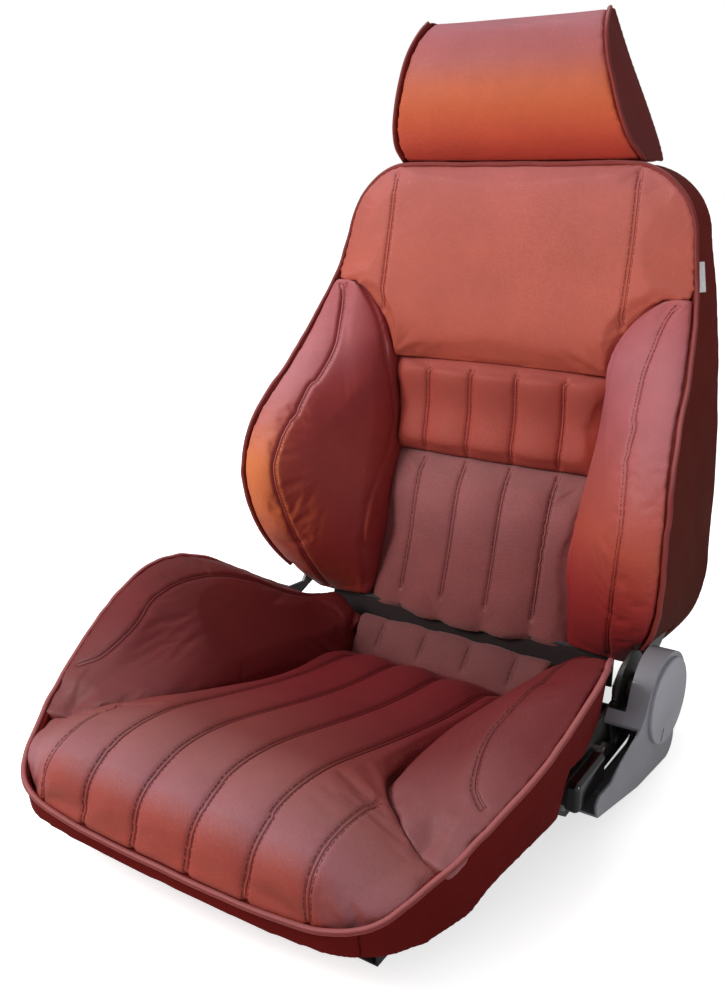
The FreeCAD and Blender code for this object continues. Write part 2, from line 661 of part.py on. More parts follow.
back_block = back_envelope(0)
back_edge_line = steps((318, 40), (318, 95), ((262, 157), (222, 270)), ((236, 330), (290, 393)),
                       ((350, 460), (392, 522)), ((410, 580), (417, 657)), (417, 720), (600, 720), (600, 40))
back_side_view = prism(closed(back_edge_line), along(-FAR), (2 * FAR, 0, 0))
back_shell = back_block.cut(back_envelope(size("trim_sheet"))).common(back_side_view)
rear_outline = drawn_in(BACK_OUTLINE_REAR, size("trim_sheet") + size("trim_hem"))
panel_face = BACK_REAR_PLANE - size("trim_sheet")
rear_zone = prism(rear_outline, across(panel_face - 1), (0, 20, 0))
rear_zone = rear_zone.cut(block((-FAR, -FAR, -FAR), (FAR, FAR, size("rear_panel_foot"))))
bottom_zone = block((-222, -FAR, -FAR), (222, FAR, size("rear_panel_foot")))
top_zone = block((-158, -FAR, 600), (158, FAR, FAR))
right_half = block((0, -FAR, -FAR), (FAR, FAR, FAR))
feature("back_rear_panel", one_solid(back_shell.common(rear_zone)))
back_band = back_shell.cut(rear_zone)
feature("back_bottom_panel", one_solid(back_band.common(bottom_zone)))
sleeve_places = [Vector(sign * size("post_half"), size("post_place"), 0) for sign in (-1, 1)]
top_panel = back_band.common(top_zone)
for place in sleeve_places:
    top_panel = top_panel.cut(Part.makeCylinder(size("guide_bore") + 0.1, FAR, place))
feature("back_boxing_top", one_solid(top_panel))
back_side = one_solid(back_band.cut(bottom_zone).cut(top_zone).common(right_half))

# The steel arm passes through a slot in the boxing; the wing's foam is cut away outside the arm
arm_inside = size("bracket_inside") + size("bracket_plate") + size("plate_gap")
arm_room = closed(steps((205, 30), (205, 138), (290, 138), (400, 245), (452, 245), (452, 130), (330, 60)))
arm_slot = prism(arm_room, along(arm_inside - 1), (size("arm_plate") + 2, 0, 0))
arm_pocket = prism(arm_room, along(arm_inside - size("pocket_depth")), (FAR, 0, 0))
back_side = one_solid(back_side.cut(arm_slot))
feature("back_boxing_right", back_side)
feature("back_boxing_left", other_side(back_side))

foam_foot, foam_head = 100, 640
foam_lean = size("foam_back_lean") / (foam_head - foam_foot)


def foam_back(height):
    """Depth of the foam's rear face at a height."""
    return size("foam_back_low") + (height - foam_foot) * foam_lean


foam_rear_space = closed(steps((foam_back(-FAR), -FAR), (foam_back(FAR), FAR), (2 * FAR, FAR),
                               (2 * FAR, -FAR)))
foam_rear_space = prism(foam_rear_space, along(-FAR), (2 * FAR, 0, 0))
back_seam = closed(steps((145, 40), (145, 160), ((141, 295), (150, 395)), ((170, 475), (209, 510)), (300, 516),
                         (300, 40)))
back_seam_right = prism(back_seam, across(-FAR), (0, 2 * FAR, 0))
edge_face = Part.Face(wire(closed(back_edge_line), along(0)))


def back_edge_depth(height):
    """Depth of the piping line at a height."""
    return edge_face.common(Part.makeLine(Vector(0, 0, height), Vector(0, 500, height))).BoundBox.YMin


def wing_section(station):
    """Closed outline of a side wing at a station: insert seam, crest line and piping line."""
    height = station["height"]
    seam = complex(station["seam_half"], station["seam"])
    crest = complex(station["crest_half"], station["crest"])
    depth = back_edge_depth(max(height, 96))
    rim = complex(reach(back_block, depth, max(height, 100)), depth)
    lead = seam - size("pad_lead")
    low = rim + complex(12, 5)
    pieces = [(lead, None, seam), (seam, puffed(seam, crest, size("wing_puff"), -1j), crest),
              (crest, puffed(crest, rim, size("crest_puff"), -1j), rim),
              (rim, None, low), (low, None, complex(low.real, 470)),
              (complex(low.real, 470), None, complex(lead.real, 470)), (complex(lead.real, 470), None, lead)]
    return wire(pieces, level(height))


wing = Part.makeLoft([wing_section(station) for station in BACK[:10]], True, False)
wing = wing.common(back_envelope(size("trim_sheet"))).common(back_seam_right).cut(foam_rear_space)
wing = one_solid(wing.cut(arm_pocket))
feature("back_wing_right", wing)
feature("back_wing_left", other_side(wing))


def back_pad_section(height, dip, rise_here, near, outer):
    """Section of a pleated back pad at a height, drawn back by a dip."""
    depth = interpolated(BACK, "height", "middle", height) + dip
    heights = sagged(-depth, -near, -outer, -outer - 4)
    outline = pleated(heights, -480, rise_here)
    flat = [(start.conjugate(), None if way is None else way.conjugate(), end.conjugate())
            for start, way, end in outline]
    return wire(flat, level(height))


def back_pad(low, high, heights, near, outer):
    """A pleated back pad, drawn in along its upper and lower seams."""
    sections = [back_pad_section(low, size("seam_dip"), 1, near, outer)]
    sections += [back_pad_section(height, 0, rise, near, outer) for height in (low + 14, *heights, high - 14)]
    sections.append(back_pad_section(high, size("seam_dip"), 1, near, outer))
    pad = Part.makeLoft(sections, True, False).common(back_block)
    return one_solid(cut_both(pad, back_seam_right).cut(back_shell).cut(foam_rear_space))


low_seam, high_seam = size("low_seam"), size("high_seam")
feature("back_lumbar_pad", back_pad(76, low_seam, (140, 200), -5, -16))
feature("back_mid_pad", back_pad(low_seam, high_seam, (350,), -3, -10))


def upper_section(height, dip):
    """Section of the plain upper pad at a height."""
    station = {column: interpolated(BACK, "height", column, height) for column in BACK_COLUMNS}
    middle, half = station["middle"] + dip, 200
    side_depth = interpolated(BACK, "height", "seam", height) if height > 515 else station["middle"] - 14
    shoulder = complex(half, side_depth + dip)
    rim = complex(262, back_edge_depth(min(height, 655)) + 8 + dip)
    front = (complex(-half, shoulder.imag), complex(0, middle), shoulder)
    flip = complex(-rim.real, rim.imag)
    pieces = [front, (shoulder, puffed(shoulder, rim, 3, -1j), rim), (rim, None, complex(rim.real, 480)),
              (complex(rim.real, 480), None, complex(-rim.real, 480)), (complex(-rim.real, 480), None, flip),
              (flip, puffed(flip, front[0], 3, -1j), front[0])]
    return wire(pieces, level(height))


upper_pad = Part.makeLoft([upper_section(high_seam, size("seam_dip")), upper_section(high_seam + 16, 0),
                           upper_section(515, 0), upper_section(590, 0), upper_section(660, 0)], True, False)
upper_pad = cut_both(upper_pad.common(back_block), back_seam_right).cut(back_shell).cut(foam_rear_space)
guide_room = size("guide_radius") + 1
guide_slot = block((size("post_half") - guide_room, size("post_place") - guide_room, size("guide_foot") - 4),
                   (size("post_half") + guide_room, FAR, FAR))
upper_pad = one_solid(cut_both(upper_pad, guide_slot))
feature("back_upper_pad", upper_pad)

# Back piping: up one side, over the shoulders and down the other side
def back_piping_point(height):
    """A point of the back piping's right side at a height."""
    depth = back_edge_depth(height)
    rim = reach(back_block, depth, height)
    slope = (reach(back_block, depth, height + 2) - reach(back_block, depth, height - 2)) / 4
    outward = Vector(1, 0, -slope).normalize() * piping_side
    return Vector(rim, depth - piping_front, height) + outward


right_edge = [back_piping_point(height) for height in (147, 174, 205, 240, 275, 310, 345, 385, 430, 475, 515,
                                                       550, 580, 604, 624, 640, 650)]
right_edge += [Vector(164, 417 - piping_front, 657.5 + piping_side),
               Vector(130, 417 - piping_front, 657 + piping_side)]
back_piping_points = right_edge + [Vector(-point.x, point.y, point.z) for point in reversed(right_edge)]
feature("back_piping", tube(back_piping_points, size("piping_radius")))
tag_depth = back_edge_depth(size("tag_middle")) + size("tag_gap") + size("tag_length") / 2
tag_space = block((0, tag_depth - size("tag_length") / 2, size("tag_middle") - size("tag_height") / 2),
                  (FAR, tag_depth + size("tag_length") / 2, size("tag_middle") + size("tag_height") / 2))
tag = back_block.translated(Vector(size("tag_thickness"), 0, 0)).common(tag_space).cut(back_block)
feature("sewn_tag", one_solid(tag))

# Lining cloth that hangs from the backrest's lower front edge and closes the gap behind the cushion
flap = block((-size("flap_half"), size("flap_place"), size("flap_foot")),
             (size("flap_half"), size("flap_place") + size("flap_thickness"), 100))
feature("back_flap", one_solid(flap.cut(back_block)))

# Backrest frame
hoop_foot, hoop_top = size("hoop_foot"), size("hoop_top")


def hoop_depth(height):
    """Depth of the hoop's middle line at a height."""
    share = (height - hoop_foot) / (hoop_top - hoop_foot)
    return size("hoop_low_place") + share * (size("hoop_high_place") - size("hoop_low_place"))


def hoop_side(height):
    """Half-width of the hoop's middle line at a height."""
    share = max(0, (height - size("hoop_waist")) / (hoop_top - size("hoop_waist")))
    return size("hoop_half") - share * (size("hoop_half") - size("hoop_top_half"))


half, top_half, waist = size("hoop_half"), size("hoop_top_half"), size("hoop_waist")
hoop_points = [Vector(half, hoop_depth(hoop_foot), hoop_foot), Vector(half, hoop_depth(waist), waist),
               Vector(top_half, hoop_depth(hoop_top), hoop_top)]
hoop_points += [Vector(-point.x, point.y, point.z) for point in reversed(hoop_points)]
hoop_bend = 60


def hoop_tube(radius):
    """The hoop as a solid, with its bends at the tube bender's radius."""
    edges, at = [], hoop_points[0]
    for i in range(1, len(hoop_points) - 1):
        corner = hoop_points[i]
        first, second = (corner - hoop_points[i - 1]), (hoop_points[i + 1] - corner)
        turn = first.getAngle(second)
        back = hoop_bend * math.tan(turn / 2)
        start = corner - first.normalize() * back
        end = corner + second.normalize() * back
        inward = ((start + end) * 0.5 - corner).normalize()
        middle = corner + inward * (hoop_bend * (1 / math.cos(turn / 2) - 1))
        edges += [Part.LineSegment(at, start).toShape(), Part.Arc(start, middle, end).toShape()]
        at = end
    edges.append(Part.LineSegment(at, hoop_points[-1]).toShape())
    ring = Part.Wire(Part.makeCircle(radius, hoop_points[0], hoop_points[1] - hoop_points[0]))
    return Part.Wire(edges).makePipeShell([ring], True, False)


tube_radius, bore = size("tube_radius"), size("tube_radius") - size("tube_wall")
hoop_outer = hoop_tube(tube_radius)
arm_bolt_heights = (size("arm_bolt_low"), size("arm_bolt_high"))
hoop = hoop_outer.cut(hoop_tube(bore))
for height in arm_bolt_heights:
    bolt_start = Vector(-FAR, hoop_depth(height), height)
    hoop = hoop.cut(Part.makeCylinder(size("fixing_radius"), 2 * FAR, bolt_start, Vector(1, 0, 0)))
feature("back_hoop_frame", one_solid(hoop))


def crossbar(label, place, height):
    """A tube between the hoop's legs, its ends against them."""
    reach_out = hoop_side(height) - tube_radius
    outer = Part.makeCylinder(tube_radius, 2 * reach_out, Vector(-reach_out, place, height), Vector(1, 0, 0))
    inner = Part.makeCylinder(bore, 2 * reach_out, Vector(-reach_out, place, height), Vector(1, 0, 0))
    feature(label, outer.cut(inner).cut(hoop_outer))


crossbar("back_lower_crossbar", hoop_depth(size("low_bar_height")), size("low_bar_height"))
crossbar("back_upper_crossbar", size("high_bar_place"), size("high_bar_height"))
guides, sleeves = [], []
collar_foot = size("back_top")
for place in sleeve_places:
    foot = place + Vector(0, 0, size("guide_foot"))
    guide_length = collar_foot - size("trim_sheet") - size("guide_foot")
    guide = Part.makeCylinder(size("guide_radius"), guide_length, foot)
    guides.append(guide.cut(Part.makeCylinder(size("guide_bore"), guide_length, foot)))
    sleeve = Part.makeCylinder(size("guide_bore"), collar_foot - size("guide_foot"), foot)
    collar = Part.makeCylinder(size("collar_radius"), size("collar_height"), place + Vector(0, 0, collar_foot))
    post_room = Part.makeCylinder(size("post_radius") + size("running_gap"), FAR, foot - Vector(0, 0, 1))
    sleeves.append(sleeve.fuse(collar).cut(post_room).removeSplitter())
feature("headrest_guides", Part.makeCompound(guides))
feature("headrest_sleeves", Part.makeCompound(sleeves))
back_wires = []
for number in range(3):
    height = size("back_wire_low") + number * size("back_wire_step")
    end = hoop_side(height) - tube_radius - size("wire_end_gap")
    depth = hoop_depth(height)
    start, stop = Vector(-end, depth, height), Vector(end, depth, height)
    count = int(round(2 * end / size("wire_pitch")))
    back_wires.append(tube(zigzag(start, stop, Vector(0, 0, size("wire_swing")), count), size("wire_radius")))
feature("back_springs", Part.makeCompound(back_wires))

# Recliner plates
PIVOT = ("sizes.pivot_place", "sizes.pivot_height")
FIXINGS = [(f"sizes.{end}_fixing_place", "sizes.fixing_height") for end in ("front", "rear")]
bracket_outside = "sizes.bracket_inside+sizes.bracket_plate"
bracket_corners = [("92", "14"), ("285", "12"), ("300", "26"), ("300", "60"), ("275", "92"), ("190", "86"),
                   ("60", "86"), ("45", "72"), ("45", "46")]
bracket = plate("recliner_bracket_right", bracket_corners, "sizes.bracket_plate", "sizes.bracket_inside",
                holes=[(*PIVOT, "sizes.pivot_radius"), *[(*place, "sizes.fixing_radius") for place in FIXINGS],
                       ("sizes.pawl_pin_place", "sizes.pawl_pin_height", "sizes.pin_radius"),
                       ("sizes.lever_pin_place", "sizes.lever_pin_height", "sizes.pin_radius"),
                       ("sizes.front_boss_place", "sizes.boss_height", "sizes.boss_screw"),
                       ("sizes.rear_boss_place", "sizes.boss_height", "sizes.boss_screw")],
                discs=[(*PIVOT, "sizes.bracket_hub_radius")])
node("recliner_bracket_right", bracket)
left_bracket = plate("left_bracket_source", bracket_corners, "sizes.bracket_plate", "sizes.bracket_inside",
                     holes=[(*PIVOT, "sizes.pivot_radius"),
                            *[(*place, "sizes.fixing_radius") for place in FIXINGS]],
                     discs=[(*PIVOT, "sizes.left_hub_radius")])
node("recliner_bracket_left", mirrored_copy("recliner_bracket_left", left_bracket))

arm_inside_cell = bracket_outside + "+sizes.plate_gap"
arm_top = size("arm_bolt_high") + 14
arm_end = [(f"{hoop_depth(130) + 10:.1f}", "132"), (f"{hoop_depth(200) + 12:.1f}", f"{arm_top:.1f}"),
           (f"{hoop_depth(200) - 14:.1f}", f"{arm_top:.1f}")]
arm_corners = [("sizes.pivot_place+44", "sizes.pivot_height+24"),
               ("sizes.pivot_place-10", "sizes.pivot_height+28"),
               ("sizes.pivot_place+14", "sizes.pivot_height-26"), *arm_end]
left_arm_corners = [("sizes.pivot_place+44", "sizes.pivot_height+10"),
                    ("sizes.pivot_place-6", "sizes.pivot_height+14"),
                    ("sizes.pivot_place+8", "sizes.pivot_height-16"), *arm_end]
arm_holes = [(*PIVOT, "sizes.bush_radius")]
arm_holes += [(f"{hoop_depth(height):.3f}", f"{height}", "sizes.fixing_radius") for height in arm_bolt_heights]
right_arm = plate("right_arm_plate", arm_corners, "sizes.arm_plate", arm_inside_cell, arm_holes,
                  discs=[(*PIVOT, "sizes.sector_radius")])
left_arm = plate("left_arm_plate", left_arm_corners, "sizes.arm_plate", arm_inside_cell, arm_holes,
                 discs=[(*PIVOT, "sizes.left_hub_radius")])
teeth = []
for number in range(int(size("tooth_count"))):
    angle = size("tooth_first") + number * size("tooth_step")
    tooth = doc.addObject("Part::Box", f"tooth_{number}")
    heading = math.radians(angle)
    rim = size("sector_radius") - size("tooth_side") / 2
    at = Vector(arm_inside, size("pivot_place") + rim * math.cos(heading),
                size("pivot_height") + rim * math.sin(heading))
    bind(tooth, Length="sizes.arm_plate", Width="sizes.tooth_side", Height="sizes.tooth_side")
    tooth.Placement = Placement(at, Rotation(Vector(1, 0, 0), angle - 45))
    teeth.append(tooth)
node("recliner_arm_right", fuse("recliner_arm_right", [right_arm, *teeth]))
node("recliner_arm_left", mirrored_copy("recliner_arm_left", left_arm))

# Spacers and bolts that carry the brackets, and the bolts of the arms
spacer_start = "sizes.bolt_spread/2+sizes.rail_size/2+sizes.side_plate"
spacers, bolts, arm_bolts, bushes, pivot_bolts, pivot_nuts, washers = [], [], [], [], [], [], []
for side in ("left", "right"):
    def keep(store, name, thing):
        """Keep a piece, or its mirror image on the left."""
        store.append(mirrored_copy(name + "_turned", thing) if side == "left" else thing)

    for end, place in zip(("front", "rear"), FIXINGS):
        tag_name = f"{side}_{end}"
        outer = rod("spacer_" + tag_name, "sizes.spacer_radius", f"sizes.bracket_inside-({spacer_start})",
                    (spacer_start, *place))
        inner = rod("spacer_bore_" + tag_name, "sizes.fixing_radius",
                    f"sizes.bracket_inside-({spacer_start})+2", (spacer_start + "-1", *place))
        keep(spacers, "spacer_" + tag_name, cut("spacer_cut_" + tag_name, outer, inner))
        shank = rod("fixing_shank_" + tag_name, "sizes.fixing_radius",
                    f"{bracket_outside}-({spacer_start})+sizes.side_plate+sizes.nut_height",
                    (spacer_start + "-sizes.side_plate-sizes.nut_height", *place))
        head = hexagon("fixing_head_" + tag_name, "sizes.fixing_head", "sizes.fixing_head_height",
                       (bracket_outside, *place))
        nut = hexagon("fixing_nut_" + tag_name, "sizes.nut_radius", "sizes.nut_height",
                      (spacer_start + "-sizes.side_plate-sizes.nut_height", *place))
        keep(bolts, "fixing_" + tag_name, fuse("fixing_" + tag_name, [shank, head, nut]))
    for height in arm_bolt_heights:
        name = f"arm_bolt_{side}_{height:.0f}"
        at = (f"{hoop_depth(height):.3f}", f"{height}")
        start = "sizes.hoop_half-sizes.tube_radius-sizes.nut_height"
        shank = rod(name + "_shank", "sizes.fixing_radius",
                    f"{arm_inside_cell}+sizes.arm_plate-({start})", (start, *at))
        head = rod(name + "_head", "sizes.fixing_head", "sizes.side_plate",
                   (arm_inside_cell + "+sizes.arm_plate", *at))
        nut = hexagon(name + "_nut", "sizes.nut_radius", "sizes.nut_height", (start, *at))
        keep(arm_bolts, name, fuse(name, [shank, head, nut]))
    outer = rod(f"bush_{side}_outer", "sizes.bush_radius", "sizes.arm_plate", (arm_inside_cell, *PIVOT))
    inner = rod(f"bush_{side}_bore", "sizes.pivot_radius+sizes.running_gap", "sizes.arm_plate+2",
                (arm_inside_cell + "-1", *PIVOT))
    keep(bushes, f"bush_{side}", cut(f"bush_{side}", outer, inner))
    shank_start = "sizes.bracket_inside-sizes.head_radius"
    shank = rod(f"pivot_{side}_shank", "sizes.pivot_radius",
                f"{arm_inside_cell}+sizes.arm_plate+0.2-({shank_start})", (shank_start, *PIVOT))
    head = rod(f"pivot_{side}_head", "sizes.head_radius", "sizes.head_length",
               (arm_inside_cell + "+sizes.arm_plate+0.2", *PIVOT))
    keep(pivot_bolts, f"pivot_{side}", fuse(f"pivot_{side}", [shank, head]))
    nut = hexagon(f"pivot_nut_{side}_body", "sizes.pivot_nut_radius", "sizes.head_radius",
                  (shank_start, *PIVOT))
    thread = rod(f"pivot_nut_{side}_thread", "sizes.pivot_radius", "sizes.head_radius+2",
                 (shank_start + "-1", *PIVOT))
    keep(pivot_nuts, f"pivot_nut_{side}", cut(f"pivot_nut_{side}", nut, thread))
    disc = rod(f"washer_{side}_disc", "sizes.bush_radius+3", "sizes.plate_gap-0.2",
               (bracket_outside, *PIVOT))
    hole = rod(f"washer_{side}_hole", "sizes.pivot_radius", "sizes.plate_gap+2",
               (bracket_outside + "-1", *PIVOT))
    keep(washers, f"washer_{side}", cut(f"washer_{side}", disc, hole))
for label, things in (("bracket_spacers", spacers), ("bracket_bolts", bolts), ("arm_bolts", arm_bolts),
                      ("pivot_bushes", bushes), ("pivot_bolts", pivot_bolts), ("pivot_nuts", pivot_nuts),
                      ("pivot_washers", washers)):
    node(label, group(label, things))

# Pawl and lever with their pins
pawl_heading = math.radians(size("pawl_angle"))
nose_radius = size("sector_radius") + size("tooth_side") * (math.sqrt(2) - 0.5) + size("pawl_gap")
nose = (size("pivot_place") + nose_radius * math.cos(pawl_heading),
        size("pivot_height") + nose_radius * math.sin(pawl_heading))
pawl_room = "sizes.pin_radius+sizes.running_gap"
pawl = plate("recliner_pawl", [(f"{nose[0]:.2f}", f"{nose[1]:.2f}"),
                               (f"{nose[0] - 9:.2f}", f"{nose[1] + 1:.2f}"),
                               ("sizes.pawl_pin_place-9", "sizes.pawl_pin_height+3"),
                               ("sizes.lever_pin_place+16", "sizes.pawl_tail_top"),
                               ("sizes.lever_pin_place+16", "sizes.pawl_tail_top-7"),
                               ("sizes.pawl_pin_place+2", "sizes.pawl_pin_height-8"),
                               ("sizes.pawl_pin_place+5", "sizes.pawl_pin_height+2"),
                               ("sizes.pawl_pin_place-3.5", "sizes.pawl_pin_height+14")],
             "sizes.arm_plate", arm_inside_cell,
             holes=[("sizes.pawl_pin_place", "sizes.pawl_pin_height", pawl_room)],
             discs=[("sizes.pawl_pin_place", "sizes.pawl_pin_height", "sizes.pin_radius+5")])
node("recliner_pawl", pawl)
lever_inside = arm_inside_cell + "+sizes.arm_plate+sizes.plate_gap"
foot_height = "sizes.pawl_tail_top+sizes.foot_radius+sizes.foot_gap"
lever_sheet = plate("lever_plate_sheet", [("sizes.lever_pin_place", "sizes.lever_pin_height+8"),
                                          ("sizes.grip_front+12", "sizes.grip_foot+23"),
                                          ("sizes.grip_front+12", "sizes.grip_foot+11"),
                                          ("sizes.lever_pin_place-10", "sizes.lever_pin_height-6"),
                                          ("sizes.foot_place-2", "sizes.pawl_tail_top+1"),
                                          ("sizes.foot_place+5", "sizes.pawl_tail_top+1"),
                                          ("sizes.foot_place+5", "sizes.pawl_tail_top+8")],
                    "sizes.lever_plate", lever_inside,
                    holes=[("sizes.lever_pin_place", "sizes.lever_pin_height", pawl_room)],
                    discs=[("sizes.lever_pin_place", "sizes.lever_pin_height", "sizes.pin_radius+5")])
foot = rod("lever_foot", "sizes.foot_radius", "sizes.arm_plate+sizes.plate_gap",
           (arm_inside_cell, "sizes.foot_place", foot_height))
node("recliner_lever", fuse("recliner_lever", [lever_sheet, foot]))
pins = [rod("pawl_pin", "sizes.pin_radius", "sizes.bracket_plate+sizes.plate_gap+sizes.arm_plate+1",
            ("sizes.bracket_inside", "sizes.pawl_pin_place", "sizes.pawl_pin_height")),
        rod("lever_pin", "sizes.pin_radius",
            "sizes.bracket_plate+2*sizes.plate_gap+sizes.arm_plate+sizes.lever_plate+1",
            ("sizes.bracket_inside", "sizes.lever_pin_place", "sizes.lever_pin_height"))]
node("recliner_pins", group("recliner_pins", pins))
grip_box = box("grip_block", "sizes.grip_width", "sizes.grip_length", "sizes.grip_height",
               ("sizes.bracket_inside+13", "sizes.grip_front", "sizes.grip_foot"))
doc.recompute()
grip_round = doc.addObject("Part::Fillet", "grip_rounded")
grip_round.Base = grip_box
grip_round.Edges = [(i + 1, size("grip_round"), size("grip_round")) for i in range(len(grip_box.Shape.Edges))]
node("lever_grip", cut("lever_grip", grip_round, lever_sheet))

# Spiral spring round the pivot bolt's head
arm_face = size("bracket_inside") + size("bracket_plate") + size("plate_gap") + size("arm_plate")
spring_place = arm_face + size("plate_gap")
inner_line, outer_line = [], []
radius, centre, turn = size("spring_start"), complex(size("pivot_place"), size("pivot_height")), 1
at = centre + radius
for number in range(int(2 * size("spring_turns"))):
    strip = size("spring_strip")
    inner_line.append((centre + turn * radius, centre + 1j * turn * radius, centre - turn * radius))
    outer_line.append((centre + turn * (radius + strip), centre + 1j * turn * (radius + strip),
                       centre - turn * (radius + strip)))
    step = size("spring_pitch") / 2
    centre, radius, turn = centre + turn * step, radius + step, -turn
spiral = inner_line + [(inner_line[-1][2], None, outer_line[-1][2])]
spiral += [(end, way, start) for start, way, end in reversed(outer_line)]
feature("recline_spring", prism(closed(spiral), along(spring_place), (size("spring_width"), 0, 0)))

# Recliner cover: tray with a leaning outer face, open at its inner side and over the grip
PIVOT_POINT = (size("pivot_place"), size("pivot_height"))
cover_outline = closed(steps((88, 28), (192, 10), (272, 7), ((287, 15), (291, 32)), (291, 44.3),
                             ((311.2, 97), (256, 144)), ((216.4, 127.6), (203.7, 108.3)),
                             ((194, 90), (178, 77)), (141, 65), (118, 53), (92, 52), ((84, 44), (84, 38))))


def leaning_space(depth):
    """Everything inside the cover's leaning outer face, moved inwards by a depth."""
    lean = math.tan(math.radians(size("cover_lean")))
    face = size("cover_outside") - depth
    outline = closed(steps((0, -FAR), (face - (300 + FAR) * lean, -FAR),
                           (face + (FAR - 300) * lean, FAR), (0, FAR)))
    return prism(outline, level(-FAR), (0, 0, 2 * FAR))


wall = size("cover_wall")
cover_start = size("cover_inside")
cover = prism(cover_outline, along(cover_start), (100, 0, 0)).common(leaning_space(0))
hollow = prism(drawn_in(cover_outline, wall), along(cover_start - 1), (100, 0, 0)).common(leaning_space(wall))
grip_room = block((0, 80, 31), (FAR, 186, FAR)).common(leaning_space(wall))
pivot_relief = Part.makeCylinder(size("cover_relief"), size("cover_relief_depth"), Vector(0, *PIVOT_POINT),
                                 Vector(1, 0, 0))
cover = cover.cut(hollow).cut(grip_room).cut(pivot_relief)
slot = block((0, size("pivot_place") - size("slot_half"), size("pivot_height") - size("slot_end")),
             (FAR, size("pivot_place") + size("slot_half"), size("pivot_height") - size("slot_start")))
slot.rotate(Vector(0, *PIVOT_POINT), Vector(1, 0, 0), -size("slot_turn"))
bracket_face = size("bracket_inside") + size("bracket_plate")
screws = []
for end in ("front", "rear"):
    at = Vector(bracket_face, size(end + "_boss_place"), size("boss_height"))
    boss = Part.makeCylinder(size("boss_radius"), 100, at, Vector(1, 0, 0)).common(leaning_space(wall / 2))
    screw_start = Vector(size("bracket_inside") - 2.5, at.y, at.z)
    shank = Part.makeCylinder(size("boss_screw"), 24, screw_start, Vector(1, 0, 0))
    head = Part.makeCylinder(2 * size("boss_screw"), 2.5, screw_start, Vector(1, 0, 0))
    cover = cover.fuse(boss).cut(shank)
    screws.append(head.fuse(shank).removeSplitter())
cover = cover.cut(slot)
feature("recliner_cover", one_solid(cover.removeSplitter()))
feature("recliner_cover_screws", Part.makeCompound(screws))
face_at_pivot = size("cover_outside") - (300 - size("pivot_place")) * math.tan(math.radians(size("cover_lean")))
lean_turn = Rotation(Vector(0, 0, 1), -size("cover_lean"))
outward = lean_turn.multVec(Vector(1, 0, 0))
cap = Part.makeCylinder(size("cap_radius"), size("cap_height"), Vector(face_at_pivot, *PIVOT_POINT), outward)
rim_edges = [edge for edge in cap.Edges if edge.Length > 1.9 * math.pi * size("cap_radius") and edge.isClosed()
             and edge.CenterOfMass.x > face_at_pivot + 1]
feature("recliner_disc_cap", cap.makeFillet(size("cap_edge"), rim_edges).cut(slot))

# Plain cap over the other hinge: clips round the pivot bolt's head
cap_wall = size("left_cap_wall")
cap_out = arm_face + 0.2 + size("head_length") + cap_wall
cap_radius = size("left_cap_radius")


def on_pivot(radius, start, end):
    """A disc on the hinge axis, left side."""
    return Part.makeCylinder(radius, end - start, Vector(-end, *PIVOT_POINT), Vector(1, 0, 0))


left_cap = on_pivot(cap_radius, arm_face + 3, cap_out)
left_cap = left_cap.cut(on_pivot(cap_radius - cap_wall, arm_face, cap_out - cap_wall))
left_cap = left_cap.fuse(on_pivot(size("head_radius") + cap_wall, arm_face + 3, cap_out - cap_wall))
left_cap = left_cap.cut(on_pivot(size("head_radius"), arm_face, cap_out - cap_wall))
feature("hinge_cover_left", left_cap.removeSplitter())

# Headrest: leaf-shaped block with side panels, piping, core plate and two posts
head_top, head_bottom = size("head_top"), size("head_bottom")
HEAD_STATIONS = ((661, 428, 497, 3, 2), (684, 391, 494, 6, 4), (711, 375, 480, 7, 4), (745, 369, 461, 7, 4),
                 (779, 371, 443, 7, 4), (805, 384, 430, 5, 3), (822, 405, 421, 2, 2))


def head_half(height):
    """Half-width of the headrest at a height."""
    share = (height - head_bottom) / (head_top - head_bottom)
    return size("head_bottom_half") + share * (size("head_top_half") - size("head_bottom_half"))


def head_section(height, front, rear, crown, back_crown):
    """Level section of the headrest."""
    side = head_half(height)
    near_left, near_right = complex(-side, front), complex(side, front)
    far_right, far_left = complex(side, rear), complex(-side, rear)
    pieces = [(near_left, complex(0, front - crown), near_right), (near_right, None, far_right),
              (far_right, complex(0, rear + back_crown), far_left), (far_left, None, near_left)]
    return wire(pieces, level(height))


headrest = Part.makeLoft([head_section(*station) for station in HEAD_STATIONS], True, False)
skin = size("side_skin")
side_space = closed(steps((head_half(900) - skin, 900), (head_half(600) - skin, 600), (FAR, 600), (FAR, 900)))
side_space = prism(side_space, across(-FAR), (0, 2 * FAR, 0))
side_panel = headrest.common(side_space)
posts = [Part.makeCylinder(size("post_radius"), size("post_top") - size("post_foot"),
                           place + Vector(0, 0, size("post_foot"))) for place in sleeve_places]
core_place = size("post_place") + size("post_radius") - 1
core = block((-size("core_half"), core_place, size("core_foot")),
             (size("core_half"), core_place + size("core_plate"), size("post_top")))
pad = cut_both(headrest, side_space).cut(core)
for post in posts:
    pad = pad.cut(post)
    core = core.cut(post)
pad = one_solid(pad)
feature("headrest_pad", pad)
feature("headrest_side_panels", Part.makeCompound([one_solid(side_panel), other_side(one_solid(side_panel))]))
feature("headrest_posts", Part.makeCompound(posts))
feature("headrest_core", core)
head_piping = []
for height, front, rear, crown, back_crown in HEAD_STATIONS[::-1]:
    head_piping.append(Vector(head_half(height) + 2.2, front - 2.6, height))
head_piping[0] = head_piping[0] + Vector(0, 0, 2)
head_piping[-1] = head_piping[-1] + Vector(0, 0, 3.5)
head_line = one_solid(tube(head_piping, 2.5).cut(pad).cut(side_panel))
feature("headrest_piping", Part.makeCompound([head_line, other_side(head_line)]))

